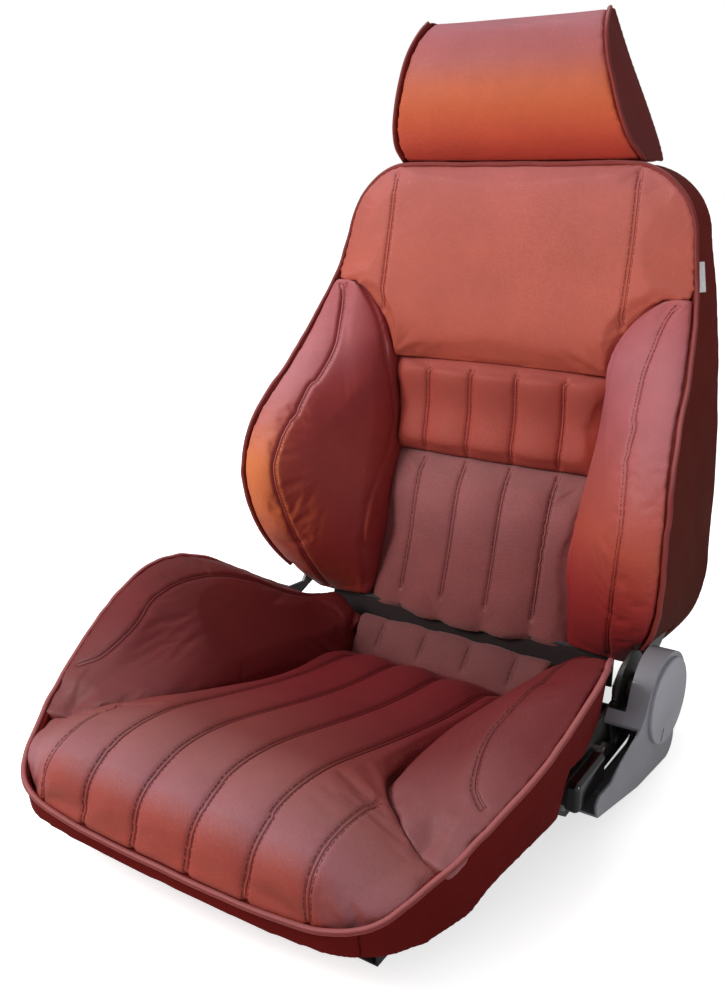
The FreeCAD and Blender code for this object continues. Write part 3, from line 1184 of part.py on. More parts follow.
doc.recompute()
for thing in doc.Objects:
    if {"Invalid", "Error"} & set(thing.State):
        raise RuntimeError(f"{thing.Label} is {thing.State}")
for thing in nodes:
    if thing.Shape.isNull() or not thing.Shape.isValid():
        raise RuntimeError(f"{thing.Label} has no valid shape")
if len({thing.Label for thing in nodes}) != len(nodes):
    raise RuntimeError("two sub-parts share a name")
os.makedirs("parts", exist_ok=True)
for thing in nodes:
    thing.Shape.exportStep(f"parts/{thing.Label}.step")
    print(thing.Label, len(thing.Shape.Solids), round(thing.Shape.Volume / 1000, 1))
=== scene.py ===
import math

import bpy
import numpy as np
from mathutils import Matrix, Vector
from mathutils.bvhtree import BVHTree
from mathutils.kdtree import KDTree


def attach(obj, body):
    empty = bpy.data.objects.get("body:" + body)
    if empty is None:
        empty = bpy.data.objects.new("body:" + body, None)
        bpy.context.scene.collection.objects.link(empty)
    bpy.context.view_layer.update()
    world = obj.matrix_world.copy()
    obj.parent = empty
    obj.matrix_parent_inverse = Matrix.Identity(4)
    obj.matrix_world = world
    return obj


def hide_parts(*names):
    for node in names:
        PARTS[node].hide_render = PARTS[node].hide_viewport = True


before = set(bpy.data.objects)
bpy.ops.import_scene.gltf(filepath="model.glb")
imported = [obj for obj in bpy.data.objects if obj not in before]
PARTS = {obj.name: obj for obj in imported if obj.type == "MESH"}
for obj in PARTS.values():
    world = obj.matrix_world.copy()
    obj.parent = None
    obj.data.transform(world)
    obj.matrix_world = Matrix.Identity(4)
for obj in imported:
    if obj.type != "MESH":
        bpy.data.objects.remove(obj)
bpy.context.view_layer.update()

# Studio
# A pale floor and backdrop without a seam, one large soft lamp in front of the seat on its right-hand
# side, a weaker one behind, and an even pale sky. The camera looks down on the seat from its front left.
CAMERA_PLACE = Vector((0.56034, -0.78213, 0.64223))
CAMERA_TARGET = Vector((-0.11055, 0.250, 0.25437))
LENS_LENGTH = 36.805
FLOOR_HALF = 30.0
FLOOR_LIFT = 1.0
SHADOW_LIFT = 0.62
SHADOW_REACH = (0.22, 0.46)
SKY_LIGHT = 0.30


def tint(red, green, blue):
    """A colour chart's 0-255 values as the renderer's linear colour."""
    linear = [value / 255 / 12.92 if value < 10.31 else ((value / 255 + 0.055) / 1.055) ** 2.4
              for value in (red, green, blue)]
    return (*linear, 1.0)


def add_node(tree, kind, inputs=None, **settings):
    """Adds a shader node; each input is a value or another node's output."""
    made = tree.nodes.new("ShaderNode" + kind)
    for key, value in settings.items():
        setattr(made, key, value)
    for key, value in (inputs or {}).items():
        if isinstance(value, bpy.types.NodeSocket):
            tree.links.new(value, made.inputs[key])
        else:
            made.inputs[key].default_value = value
    return made


def new_material(name):
    """An empty material with its output."""
    material = bpy.data.materials.new(name)
    material.use_nodes = True
    material.node_tree.nodes.clear()
    output = material.node_tree.nodes.new("ShaderNodeOutputMaterial")
    return material, material.node_tree, output


def seen_share(tree):
    """1 where the camera sees a surface itself or through glass, and 0 for its light on other things."""
    rays = add_node(tree, "LightPath")
    seen = add_node(tree, "Math", {0: rays.outputs["Is Camera Ray"], 1: rays.outputs["Is Transmission Ray"]},
                    operation="MAXIMUM")
    return seen.outputs[0]


camera_data = bpy.data.cameras.new("studio_camera")
camera_data.lens = LENS_LENGTH
camera_data.sensor_width = 36
camera = bpy.data.objects.new("studio_camera", camera_data)
camera.location = CAMERA_PLACE
camera.rotation_euler = (CAMERA_TARGET - CAMERA_PLACE).to_track_quat("-Z", "Y").to_euler()
bpy.context.scene.collection.objects.link(camera)
bpy.context.scene.camera = camera
bpy.context.scene.view_settings.view_transform = "Standard"

bpy.ops.object.select_all(action="DESELECT")
bpy.ops.mesh.primitive_plane_add(size=2 * FLOOR_HALF, location=(0, 0, 0))
floor = bpy.context.object
floor.name = "studio_floor"
floor_material, tree, output = new_material("pale_floor")
seen = seen_share(tree)
# The floor's glow for the camera is weaker round the seat's footprint: a painted soft shadow
spot = add_node(tree, "TexCoord")
spot = add_node(tree, "Mapping", {"Vector": spot.outputs["Object"], "Location": (0, -0.10, 0),
                                  "Scale": (1.0, 0.75, 1.0)})
spot = add_node(tree, "VectorMath", {0: spot.outputs[0]}, operation="LENGTH")
spot = add_node(tree, "MapRange", {"Value": spot.outputs["Value"], "From Min": SHADOW_REACH[0],
                                   "From Max": SHADOW_REACH[1], "To Min": SHADOW_LIFT,
                                   "To Max": FLOOR_LIFT}, interpolation_type="SMOOTHERSTEP")
lift = add_node(tree, "Math", {0: seen, 1: spot.outputs[0]}, operation="MULTIPLY")
paper = add_node(tree, "BsdfDiffuse", {"Color": (0.80, 0.80, 0.80, 1)})
glow = add_node(tree, "Emission", {"Color": (1, 1, 1, 1), "Strength": lift.outputs[0]})
mixed = add_node(tree, "AddShader", {0: paper.outputs[0], 1: glow.outputs[0]})
tree.links.new(mixed.outputs[0], output.inputs["Surface"])
floor.data.materials.append(floor_material)

world = bpy.data.worlds.new("pale_sky")
bpy.context.scene.world = world
world.use_nodes = True
tree = world.node_tree
tree.nodes.clear()
strength = add_node(tree, "MapRange", {"Value": seen_share(tree), "To Min": SKY_LIGHT, "To Max": 1.0})
sky = add_node(tree, "Background", {"Color": (1, 1, 1, 1), "Strength": strength.outputs[0]})
world_output = tree.nodes.new("ShaderNodeOutputWorld")
tree.links.new(sky.outputs[0], world_output.inputs["Surface"])


def soft_lamp(name, place, aim, width, power, colour):
    """A square softbox that faces a point."""
    lamp = bpy.data.lights.new(name, "AREA")
    lamp.size = width
    lamp.energy = power
    lamp.color = colour
    holder = bpy.data.objects.new(name, lamp)
    holder.location = place
    holder.rotation_euler = (Vector(aim) - Vector(place)).to_track_quat("-Z", "Y").to_euler()
    bpy.context.scene.collection.objects.link(holder)


soft_lamp("key_softbox", (-1.5, -1.5, 1.7), (0, 0.1, 0.35), 1.0, 50, (1.0, 0.97, 0.94))
soft_lamp("top_softbox", (-0.3, 0.7, 2.3), (0, 0.1, 0.3), 0.9, 9, (0.97, 0.96, 1.0))
soft_lamp("side_softbox", (1.1, -0.15, 0.30), (0.29, 0.2, 0.08), 0.4, 2.2, (0.98, 0.98, 1.0))

# Base frame
# Two square rails, two cross tubes and two side plates of steel, welded, blasted and powder coated black,
# with bright zinc weld nuts and bolts. Four oiled zigzag wires carry the cushion.
ZINC = tint(176, 178, 172)


def make_group(name, inputs, outputs):
    """A shader node group with its named inputs and outputs."""
    tree = bpy.data.node_groups.new(name, "ShaderNodeTree")
    for label, kind, value in inputs:
        socket = tree.interface.new_socket(label, in_out="INPUT", socket_type="NodeSocket" + kind)
        if value is not None:
            socket.default_value = value
    for label, kind in outputs:
        tree.interface.new_socket(label, in_out="OUTPUT", socket_type="NodeSocket" + kind)
    return tree, tree.nodes.new("NodeGroupInput"), tree.nodes.new("NodeGroupOutput")


def mix_colours(tree, share, first, second):
    """Blends two colour outputs by a share."""
    mixed = add_node(tree, "Mix", data_type="RGBA")
    for index, socket in ((0, share), (6, first), (7, second)):
        tree.links.new(socket, mixed.inputs[index])
    return mixed.outputs[2]


# Dust, rubbed edges and a fine speckle, shared by the metals and plastics
surface_wear, given, made = make_group(
    "surface_wear",
    [("Base", "Color", None), ("Worn", "Color", None), ("Speckle Scale", "Float", 900.0),
     ("Rub", "Float", 0.5), ("Smooth", "Float", 0.4)],
    [("Color", "Color"), ("Roughness", "Float"), ("Height", "Float")])
place = add_node(surface_wear, "TexCoord")
cloud = add_node(surface_wear, "TexNoise", {"Vector": place.outputs["Object"], "Scale": 22.0, "Detail": 5.0})
speckle = add_node(surface_wear, "TexNoise", {"Vector": place.outputs["Object"], "Detail": 2.0,
                                              "Scale": given.outputs["Speckle Scale"]})
shape = add_node(surface_wear, "NewGeometry")
edge = add_node(surface_wear, "MapRange", {"Value": shape.outputs["Pointiness"], "From Min": 0.52,
                                           "From Max": 0.62})
edge = add_node(surface_wear, "Math", {0: edge.outputs[0], 1: cloud.outputs["Fac"]}, operation="MULTIPLY")
edge = add_node(surface_wear, "Math", {0: edge.outputs[0], 1: given.outputs["Rub"]}, operation="MULTIPLY",
                use_clamp=True)
shade = add_node(surface_wear, "MapRange", {"Value": cloud.outputs["Fac"], "To Min": 0.82, "To Max": 1.16})
tone = add_node(surface_wear, "VectorMath", {0: given.outputs["Base"], "Scale": shade.outputs[0]},
                operation="SCALE")
colour = mix_colours(surface_wear, edge.outputs[0], tone.outputs[0], given.outputs["Worn"])
surface_wear.links.new(colour, made.inputs["Color"])
gloss = add_node(surface_wear, "MapRange", {"Value": cloud.outputs["Fac"], "To Min": -0.08, "To Max": 0.10})
gloss = add_node(surface_wear, "Math", {0: given.outputs["Smooth"], 1: gloss.outputs[0]}, operation="ADD",
                 use_clamp=True)
surface_wear.links.new(gloss.outputs[0], made.inputs["Roughness"])
surface_wear.links.new(speckle.outputs["Fac"], made.inputs["Height"])


def hard_finish(name, base, worn, metallic, smooth, speckle_scale, depth, rub=0.5, coat=0.0):
    """A metal or plastic finish with its own speckle, rub and gloss."""
    material, tree, output = new_material(name)
    wear = add_node(tree, "Group", {"Base": base, "Worn": worn, "Speckle Scale": speckle_scale, "Rub": rub,
                                    "Smooth": smooth}, node_tree=surface_wear)
    relief = add_node(tree, "Bump", {"Height": wear.outputs["Height"], "Distance": depth, "Strength": 0.6})
    skin = add_node(tree, "BsdfPrincipled", {"Base Color": wear.outputs["Color"], "Metallic": metallic,
                                             "Roughness": wear.outputs["Roughness"], "Coat Weight": coat,
                                             "Normal": relief.outputs[0]})
    tree.links.new(skin.outputs[0], output.inputs["Surface"])
    return material


powder_coat = hard_finish("powder_coat", tint(34, 34, 36), tint(96, 96, 98), 0.0, 0.45, 1400, 0.0002)
zinc_plate = hard_finish("zinc_plate", ZINC, tint(214, 214, 210), 0.9, 0.36, 700, 0.00008)
oiled_wire = hard_finish("oiled_wire", tint(70, 68, 66), tint(128, 124, 118), 0.9, 0.30, 900, 0.00006)


def finish_nodes(material, *names):
    """Gives frame nodes a finish."""
    for name in names:
        PARTS[name].data.materials.clear()
        PARTS[name].data.materials.append(material)


finish_nodes(powder_coat, "base_rail_left", "base_rail_right", "base_front_tube", "base_rear_tube",
             "base_side_plate_left", "base_side_plate_right", "bracket_spacers")
finish_nodes(zinc_plate, "base_weld_nuts", "bracket_bolts")
finish_nodes(oiled_wire, "cushion_springs")

# Cushion pads
# Moulded foam under hide: a pleated middle pad that rolls over the front edge, a low pleated cloth strip
# at the rear and two side bolsters. Each cover is cut, sewn and pulled over the foam, so its face stands
# full between the seams and every seam draws a narrow channel.
HIDE_CELL = 620.0
HIDE_ROUGHNESS = 0.46
COVER_VOXEL = 0.004
COVER_RISE = 0.0007
PLEAT_PLACES = (-0.0954, -0.0318, 0.0318, 0.0954)


def pick(piece):
    """Makes one object the only selected and active one."""
    bpy.ops.object.select_all(action="DESELECT")
    bpy.context.view_layer.objects.active = piece
    piece.select_set(True)


def new_piece(name, data):
    """A new object in the scene."""
    piece = bpy.data.objects.new(name, data)
    bpy.context.scene.collection.objects.link(piece)
    return piece


def bare_copy(node, name):
    """A new object with a frame node's surface, its loose triangles merged."""
    piece = new_piece(name, PARTS[node].data.copy())
    pick(piece)
    piece.data.materials.clear()
    bpy.ops.object.mode_set(mode="EDIT")
    bpy.ops.mesh.select_all(action="SELECT")
    bpy.ops.mesh.remove_doubles(threshold=1e-5)
    bpy.ops.object.mode_set(mode="OBJECT")
    return piece


def apply_modifier(piece, kind, **settings):
    """Adds a modifier and applies it."""
    pick(piece)
    modifier = piece.modifiers.new(kind.lower(), kind)
    for key, value in settings.items():
        setattr(modifier, key, value)
    bpy.ops.object.modifier_apply(modifier=modifier.name)


def points_of(piece, kind="co"):
    """A mesh's points, or their normals, as an array."""
    flat = np.empty(len(piece.data.vertices) * 3, np.float32)
    piece.data.vertices.foreach_get(kind, flat)
    return flat.reshape(-1, 3).astype(float)


def normals_of(piece):
    """A mesh's point normals as an array."""
    return points_of(piece, "normal")


def set_points(piece, points):
    """Moves a mesh's points."""
    piece.data.vertices.foreach_set("co", points.astype(np.float32).ravel())
    piece.data.update()


def stuff(piece, facing, cap, pressure=4.0, frames=20):
    """Blows a cover up from inside as its foam does; only points that face along facing may move."""
    rest, normals = points_of(piece), normals_of(piece)
    show = np.clip((normals @ np.array(Vector(facing).normalized()) + 0.15) / 0.5, 0, 1)
    held = piece.vertex_groups.new(name="held")
    held.add([int(i) for i in np.flatnonzero(show < 0.05)], 1.0, "REPLACE")
    cloth = piece.modifiers.new("cover", "CLOTH")
    cloth.settings.use_pressure = True
    cloth.settings.uniform_pressure_force = pressure
    cloth.settings.vertex_group_mass = "held"
    cloth.settings.effector_weights.gravity = 0
    cloth.point_cache.frame_end = frames
    for number in range(1, frames + 1):
        bpy.context.scene.frame_set(number)
    moved = points_of(piece.evaluated_get(bpy.context.evaluated_depsgraph_get())) - rest
    piece.modifiers.remove(cloth)
    piece.vertex_groups.remove(held)
    bpy.context.scene.frame_set(1)
    length = np.linalg.norm(moved, axis=1)
    share = np.minimum(1, cap / np.maximum(length, 1e-9)) * show
    set_points(piece, rest + moved * share[:, None])


def surface_of(*pieces):
    """A search tree over the faces of some pieces."""
    points, faces = [], []
    for piece in pieces:
        start = len(points)
        points += [vertex.co.copy() for vertex in piece.data.vertices]
        faces += [[start + i for i in face.vertices] for face in piece.data.polygons]
    return BVHTree.FromPolygons(points, faces)


def laid_on(route, surface):
    """A route laid on a surface: its points and the surface's normals there."""
    places, normals = [], []
    for point in route:
        place, normal, _, _ = surface.find_nearest(point)
        places.append(place)
        normals.append(normal)
    return places, normals


def soft_shell(node, name, voxel, passes, hold):
    """A frame node's shape as one even skin, softened and then drawn back towards its cut."""
    piece = bare_copy(node, name)
    cut_shape = surface_of(piece)
    apply_modifier(piece, "REMESH", mode="VOXEL", voxel_size=voxel)
    apply_modifier(piece, "SMOOTH", factor=0.5, iterations=passes)
    points = points_of(piece)
    held = np.array([cut_shape.find_nearest(Vector(point))[0] for point in points])
    set_points(piece, points + (held - points) * hold)
    apply_modifier(piece, "SMOOTH", factor=0.5, iterations=1)
    return piece


def sewn_pad(node, name, facing, cap=0.005):
    """A padded piece from a frame node: a soft cover, filled by its foam."""
    piece = soft_shell(node, name, COVER_VOXEL, 4, 0.9)
    set_points(piece, points_of(piece) + normals_of(piece) * COVER_RISE)
    stuff(piece, facing, cap)
    apply_modifier(piece, "SUBSURF", levels=1, render_levels=1)
    bpy.ops.object.shade_smooth()
    return piece


def smooth_route(points, step=0.002):
    """A smooth line through chosen points, sampled at even steps."""
    points = [Vector(point) for point in points]
    ends = [2 * points[0] - points[1], *points, 2 * points[-1] - points[-2]]
    line = []
    for a, b, c, d in zip(ends, ends[1:], ends[2:], ends[3:]):
        count = max(2, int((c - b).length / step))
        for i in range(count):
            u = i / count
            line.append(0.5 * ((2 * b) + (c - a) * u + (2 * a - 5 * b + 4 * c - d) * u * u
                               + (3 * b - a - 3 * c + d) * u ** 3))
    return line + [points[-1]]


def mirror_route(points):
    """The same route on the other side."""
    return [Vector((-point[0], point[1], point[2])) for point in points]


def distances_to(points, places):
    """How far each point is from the nearest of some places."""
    tree = KDTree(len(places))
    for i, place in enumerate(places):
        tree.insert(place, i)
    tree.balance()
    return np.array([tree.find(Vector(point))[2] for point in points])


def press_channel(piece, places, depth, width):
    """Draws the cover in along a sewn line."""
    points = points_of(piece)
    away = distances_to(points, places)
    fall = np.where(away < 3 * width, depth * np.exp(-(away / width) ** 2), 0)
    set_points(piece, points - normals_of(piece) * fall[:, None])


def mirrored_piece(source, name):
    """The same piece on the other side, with a mesh of its own."""
    piece = new_piece(name, source.data.copy())
    set_points(piece, points_of(piece) * np.array([-1, 1, 1]))
    piece.data.flip_normals()
    return piece


def pressed_seams(piece, routes, depth=0.0026, width=0.0036):
    """Presses sewn lines into a cover and returns them as points and normals on its full face."""
    surface = surface_of(piece)
    laid = [laid_on(route, surface) for route in routes]
    for places, normals in laid:
        press_channel(piece, places, depth, width)
    return laid


def raised_seam(name, laid, half_width=0.0016, top=-0.0008, sunk=0.0034):
    """The folded edge that stands up between two rows of stitches, along every laid line."""
    points, faces = [], []
    for places, normals in laid:
        start, count = len(points), len(places)
        for i, (place, normal) in enumerate(zip(places, normals)):
            ahead = (places[min(i + 1, count - 1)] - places[max(i - 1, 0)]).normalized()
            side = ahead.cross(normal).normalized()
            fade = min(1.0, (i + 1) / 6, (count - i) / 6)
            for angle in (180, 150, 115, 90, 65, 30, 0):
                turn = math.radians(angle)
                height = (top + sunk) * fade * math.sin(turn) - sunk
                points.append(place + side * half_width * math.cos(turn) + normal * height)
        for i in range(count - 1):
            for j in range(6):
                a = start + i * 7 + j
                faces.append((a, a + 1, a + 8, a + 7))
            low = start + i * 7
            faces.append((low + 6, low, low + 7, low + 13))
        faces.append(tuple(start + j for j in range(6, -1, -1)))
        faces.append(tuple(start + (count - 1) * 7 + j for j in range(7)))
    return tidy_shell(piece_of(name, points, faces))


def piece_of(name, points, faces):
    """A new object from points and faces."""
    mesh = bpy.data.meshes.new(name)
    mesh.from_pydata(points, [], faces)
    return new_piece(name, mesh)


def tidy_shell(piece):
    """Merges doubles, turns the faces outwards and shades a piece smooth."""
    pick(piece)
    bpy.ops.object.mode_set(mode="EDIT")
    bpy.ops.mesh.select_all(action="SELECT")
    bpy.ops.mesh.remove_doubles(threshold=1e-6)
    bpy.ops.mesh.normals_make_consistent(inside=False)
    bpy.ops.object.mode_set(mode="OBJECT")
    bpy.ops.object.shade_smooth()
    return piece


def stitch_model(length=0.0036, thickness=0.0009):
    """One stitch of thread: a short capsule with flattened ends, along X."""
    bpy.ops.object.select_all(action="DESELECT")
    bpy.ops.mesh.primitive_uv_sphere_add(segments=6, ring_count=4, radius=0.5)
    capsule = bpy.context.object
    capsule.rotation_euler = (0, math.pi / 2, 0)
    bpy.ops.object.transform_apply(rotation=True)
    capsule.scale = (length, thickness, thickness)
    bpy.ops.object.transform_apply(scale=True)
    points = points_of(capsule)
    faces = np.array([list(face.vertices) + [face.vertices[0]] * (4 - len(face.vertices))
                      for face in capsule.data.polygons])
    bpy.data.objects.remove(capsule)
    return points, faces


def thread_rows(name, laid, surface, offsets=(-0.0026, 0.0026), pitch=0.0048):
    """Rows of stitches beside laid lines, resting on a surface."""
    model, model_faces = stitch_model()
    points, faces = [], []
    for places, normals in laid:
        travelled, due = 0.0, pitch
        for i in range(1, len(places)):
            travelled += (places[i] - places[i - 1]).length
            if travelled < due:
                continue
            due += pitch
            ahead = (places[i] - places[i - 1]).normalized()
            side = ahead.cross(normals[i]).normalized()
            for offset in offsets:
                place, normal, _, _ = surface.find_nearest(places[i] + side * offset)
                across = normal.cross(ahead).normalized()
                along_thread = across.cross(normal).normalized()
                axes = np.array([along_thread, across, normal])
                base = len(points)
                points += [tuple(row) for row in model @ axes + np.array(place + normal * 0.0001)]
                faces += [tuple(dict.fromkeys(int(base + index) for index in row)) for row in model_faces]
    return tidy_shell(piece_of(name, points, faces))


# Grain of the hide: soft cells with finer pores, as a height and a tone
hide_grain, given, made = make_group("hide_grain", [("Cell Scale", "Float", HIDE_CELL)],
                                     [("Height", "Float"), ("Tone", "Float")])
place = add_node(hide_grain, "TexCoord")
bend = add_node(hide_grain, "TexNoise", {"Vector": place.outputs["Object"], "Scale": 160.0, "Detail": 3.0})
bend = add_node(hide_grain, "VectorMath", {0: bend.outputs["Color"], "Scale": 0.004}, operation="SCALE")
bend = add_node(hide_grain, "VectorMath", {0: place.outputs["Object"], 1: bend.outputs[0]}, operation="ADD")
cells = add_node(hide_grain, "TexVoronoi", {"Vector": bend.outputs[0], "Scale": given.outputs["Cell Scale"]},
                 feature="DISTANCE_TO_EDGE")
cells = add_node(hide_grain, "MapRange", {"Value": cells.outputs["Distance"], "From Max": 0.22})
pores = add_node(hide_grain, "TexNoise", {"Vector": bend.outputs[0], "Scale": 1900.0, "Detail": 2.0})
cloud = add_node(hide_grain, "TexNoise", {"Vector": place.outputs["Object"], "Scale": 14.0, "Detail": 6.0,
                                          "Roughness": 0.6})
height = add_node(hide_grain, "Math", {0: pores.outputs["Fac"], 1: 0.35, 2: cells.outputs[0]},
                  operation="MULTIPLY_ADD")
hide_grain.links.new(height.outputs[0], made.inputs["Height"])
tone = add_node(hide_grain, "MapRange", {"Value": cloud.outputs["Fac"], "To Min": 0.80, "To Max": 1.20})
dip = add_node(hide_grain, "MapRange", {"Value": cells.outputs[0], "To Min": 0.86, "To Max": 1.0})
tone = add_node(hide_grain, "Math", {0: tone.outputs[0], 1: dip.outputs[0]}, operation="MULTIPLY")
hide_grain.links.new(tone.outputs[0], made.inputs["Tone"])

# Painted light on the hide: a painted tone where it faces up, another where it faces forwards and down, and
# painted shade on the faces that look towards the middle of the seat
hide_dye, given, made = make_group(
    "hide_dye", [("Base", "Color", None), ("Painted Highlight", "Color", None), ("Painted Glow", "Color", None),
                 ("Tone", "Float", 1.0), ("Highlight Share", "Float", 1.0), ("Glow Share", "Float", 1.0),
                 ("Painted Shade", "Color", None), ("Shade Share", "Float", 0.0)], [("Color", "Color")])
place = add_node(hide_dye, "TexCoord")
facing = add_node(hide_dye, "SeparateXYZ", {"Vector": place.outputs["Normal"]})
spot = add_node(hide_dye, "SeparateXYZ", {"Vector": place.outputs["Object"]})
up = add_node(hide_dye, "MapRange", {"Value": facing.outputs["Z"], "From Min": 0.25, "From Max": 0.95,
                                     "To Max": given.outputs["Highlight Share"]},
              interpolation_type="SMOOTHSTEP")
ahead = add_node(hide_dye, "Math", {0: facing.outputs["Y"], 1: -0.8}, operation="MULTIPLY")
ahead = add_node(hide_dye, "Math", {0: facing.outputs["Z"], 1: -0.75, 2: ahead.outputs[0]},
                 operation="MULTIPLY_ADD")
ahead = add_node(hide_dye, "MapRange", {"Value": ahead.outputs[0], "From Min": 0.45, "From Max": 1.0,
                                        "To Max": given.outputs["Glow Share"]},
                 interpolation_type="SMOOTHSTEP")
side = add_node(hide_dye, "Math", {0: spot.outputs["X"]}, operation="SIGN")
inward = add_node(hide_dye, "Math", {0: side.outputs[0], 1: facing.outputs["X"]}, operation="MULTIPLY")
inward = add_node(hide_dye, "MapRange", {"Value": inward.outputs[0], "From Min": -0.15, "From Max": -0.75,
                                         "To Max": given.outputs["Shade Share"]},
                  interpolation_type="SMOOTHSTEP")
colour = mix_colours(hide_dye, up.outputs[0], given.outputs["Base"], given.outputs["Painted Highlight"])
colour = mix_colours(hide_dye, ahead.outputs[0], colour, given.outputs["Painted Glow"])
colour = mix_colours(hide_dye, inward.outputs[0], colour, given.outputs["Painted Shade"])
colour = add_node(hide_dye, "VectorMath", {0: colour, "Scale": given.outputs["Tone"]}, operation="SCALE")
hide_dye.links.new(colour.outputs[0], made.inputs["Color"])


PAINTED_INNER_SHADE = tint(147, 46, 47)


def base_ramp(tree, base, axis):
    """A base colour: one colour, or stops of a place and a colour along an axis of the seat."""
    if not isinstance(base[0], tuple):
        return base
    place = add_node(tree, "TexCoord")
    place = add_node(tree, "SeparateXYZ", {"Vector": place.outputs["Object"]})
    low, high = base[0][0], base[-1][0]
    share = add_node(tree, "MapRange", {"Value": place.outputs[axis], "From Min": low, "From Max": high})
    ramp = add_node(tree, "ValToRGB", {"Fac": share.outputs[0]})
    stops = ramp.color_ramp.elements
    stops[0].color, stops[1].color = base[0][1], base[-1][1]
    for spot, colour in base[1:-1]:
        stops.new((spot - low) / (high - low)).color = colour
    return ramp.outputs["Color"]


def hide(name, base, highlight_tone, glow_tone, shares=(1.0, 1.0, 0.0), axis="Z", cell=HIDE_CELL, depth=0.00035,
         sheen=0.02, shine=0.28):
    """Grained upholstery hide; shares are those of the painted light on faces that look up, on faces that
    look forward and down, and of the painted shade on inward faces.
    """
    material, tree, output = new_material(name)
    grain = add_node(tree, "Group", {"Cell Scale": cell}, node_tree=hide_grain)
    dye = add_node(tree, "Group", {"Base": base_ramp(tree, base, axis), "Painted Highlight": highlight_tone, "Painted Glow": glow_tone,
                                   "Tone": grain.outputs["Tone"], "Highlight Share": shares[0],
                                   "Glow Share": shares[1], "Painted Shade": PAINTED_INNER_SHADE, "Shade Share": shares[2]},
                   node_tree=hide_dye)
    relief = add_node(tree, "Bump", {"Height": grain.outputs["Height"], "Distance": depth, "Strength": 0.45})
    polish = add_node(tree, "MapRange", {"Value": grain.outputs["Tone"], "From Min": 0.7, "From Max": 1.2,
                                         "To Min": HIDE_ROUGHNESS + 0.07, "To Max": HIDE_ROUGHNESS - 0.06})
    skin = add_node(tree, "BsdfPrincipled", {"Base Color": dye.outputs["Color"],
                                             "Roughness": polish.outputs[0], "Sheen Weight": sheen,
                                             "Sheen Roughness": 0.4, "Sheen Tint": (1.0, 0.80, 0.86, 1.0),
                                             "Specular IOR Level": shine, "Normal": relief.outputs[0]})
    tree.links.new(skin.outputs[0], output.inputs["Surface"])
    return material


# Woven cloth of the two inner strips: crossed threads as a height and a tone
cloth_weave, given, made = make_group("cloth_weave", [("Thread Scale", "Float", 900.0)],
                                      [("Height", "Float"), ("Tone", "Float")])
place = add_node(cloth_weave, "TexCoord")
warp, weft, fill_thread = (add_node(cloth_weave, "TexWave", {
    "Vector": place.outputs["Object"], "Distortion": 0.8, "Scale": given.outputs["Thread Scale"]},
    bands_direction=direction) for direction in "XZY")
cross = add_node(cloth_weave, "Math", {0: weft.outputs["Fac"], 1: fill_thread.outputs["Fac"]},
                 operation="ADD")
cross = add_node(cloth_weave, "Math", {0: cross.outputs[0], 1: warp.outputs["Fac"]}, operation="ADD")
cloth_weave.links.new(cross.outputs[0], made.inputs["Height"])
fleck = add_node(cloth_weave, "TexNoise", {"Vector": place.outputs["Object"], "Scale": 420.0, "Detail": 4.0})
cloud = add_node(cloth_weave, "TexNoise", {"Vector": place.outputs["Object"], "Scale": 18.0, "Detail": 5.0})
tone = add_node(cloth_weave, "Math", {0: fleck.outputs["Fac"], 1: cloud.outputs["Fac"]}, operation="ADD")
tone = add_node(cloth_weave, "MapRange", {"Value": tone.outputs[0], "From Min": 0.6, "From Max": 1.4,
                                          "To Min": 0.78, "To Max": 1.22})
cloth_weave.links.new(tone.outputs[0], made.inputs["Tone"])


THREAD_SCALE = 260.0


def woven(name, base, highlight_tone, glow_tone):
    """Close-woven cloth in three related colours: its base and painted light on faces that look up and on
    faces that look forward and down.
    """
    material, tree, output = new_material(name)
    weave = add_node(tree, "Group", {"Thread Scale": THREAD_SCALE}, node_tree=cloth_weave)
    dye = add_node(tree, "Group", {"Base": base_ramp(tree, base, "Z"), "Painted Highlight": highlight_tone, "Painted Glow": glow_tone,
                                   "Tone": weave.outputs["Tone"]}, node_tree=hide_dye)
    relief = add_node(tree, "Bump", {"Height": weave.outputs["Height"], "Distance": 0.0003,
                                     "Strength": 0.35})
    skin = add_node(tree, "BsdfPrincipled", {"Base Color": dye.outputs["Color"], "Roughness": 0.78,
                                             "Sheen Weight": 0.12, "Sheen Roughness": 0.5,
                                             "Normal": relief.outputs[0]})
    tree.links.new(skin.outputs[0], output.inputs["Surface"])
    return material


# Colour stops along the seat's depth: the orange foot of the front roll is a painted warm glow, the lilac
# band above it a painted highlight, and the darkening towards the rear painted shade
CUSHION_DYE_AND_LIGHT = ((-0.25, tint(172, 66, 52)), (-0.240, tint(168, 72, 62)), (-0.222, tint(168, 104, 110)),
               (-0.18, tint(158, 94, 92)), (-0.12, tint(136, 62, 58)), (-0.05, tint(130, 48, 48)),
               (0.03, tint(126, 35, 40)), (0.20, tint(115, 26, 33)))
# The bolsters are lighter and pinker at the front, a painted highlight, and darker towards the rear, painted
# shade
BOLSTER_DYE_AND_LIGHT = ((-0.17, tint(152, 92, 94)), (-0.11, tint(142, 78, 80)), (-0.05, tint(124, 50, 52)),
               (0.03, tint(114, 32, 36)), (0.25, tint(106, 26, 32)))
# The far bolster's stops are a darker copy of these: painted shade
FAR_BOLSTER_SHADED_DYE = ((-0.17, tint(146, 90, 90)), (-0.11, tint(134, 72, 74)), (-0.05, tint(116, 38, 42)),
                   (0.03, tint(100, 15, 19)), (0.25, tint(92, 12, 16)))
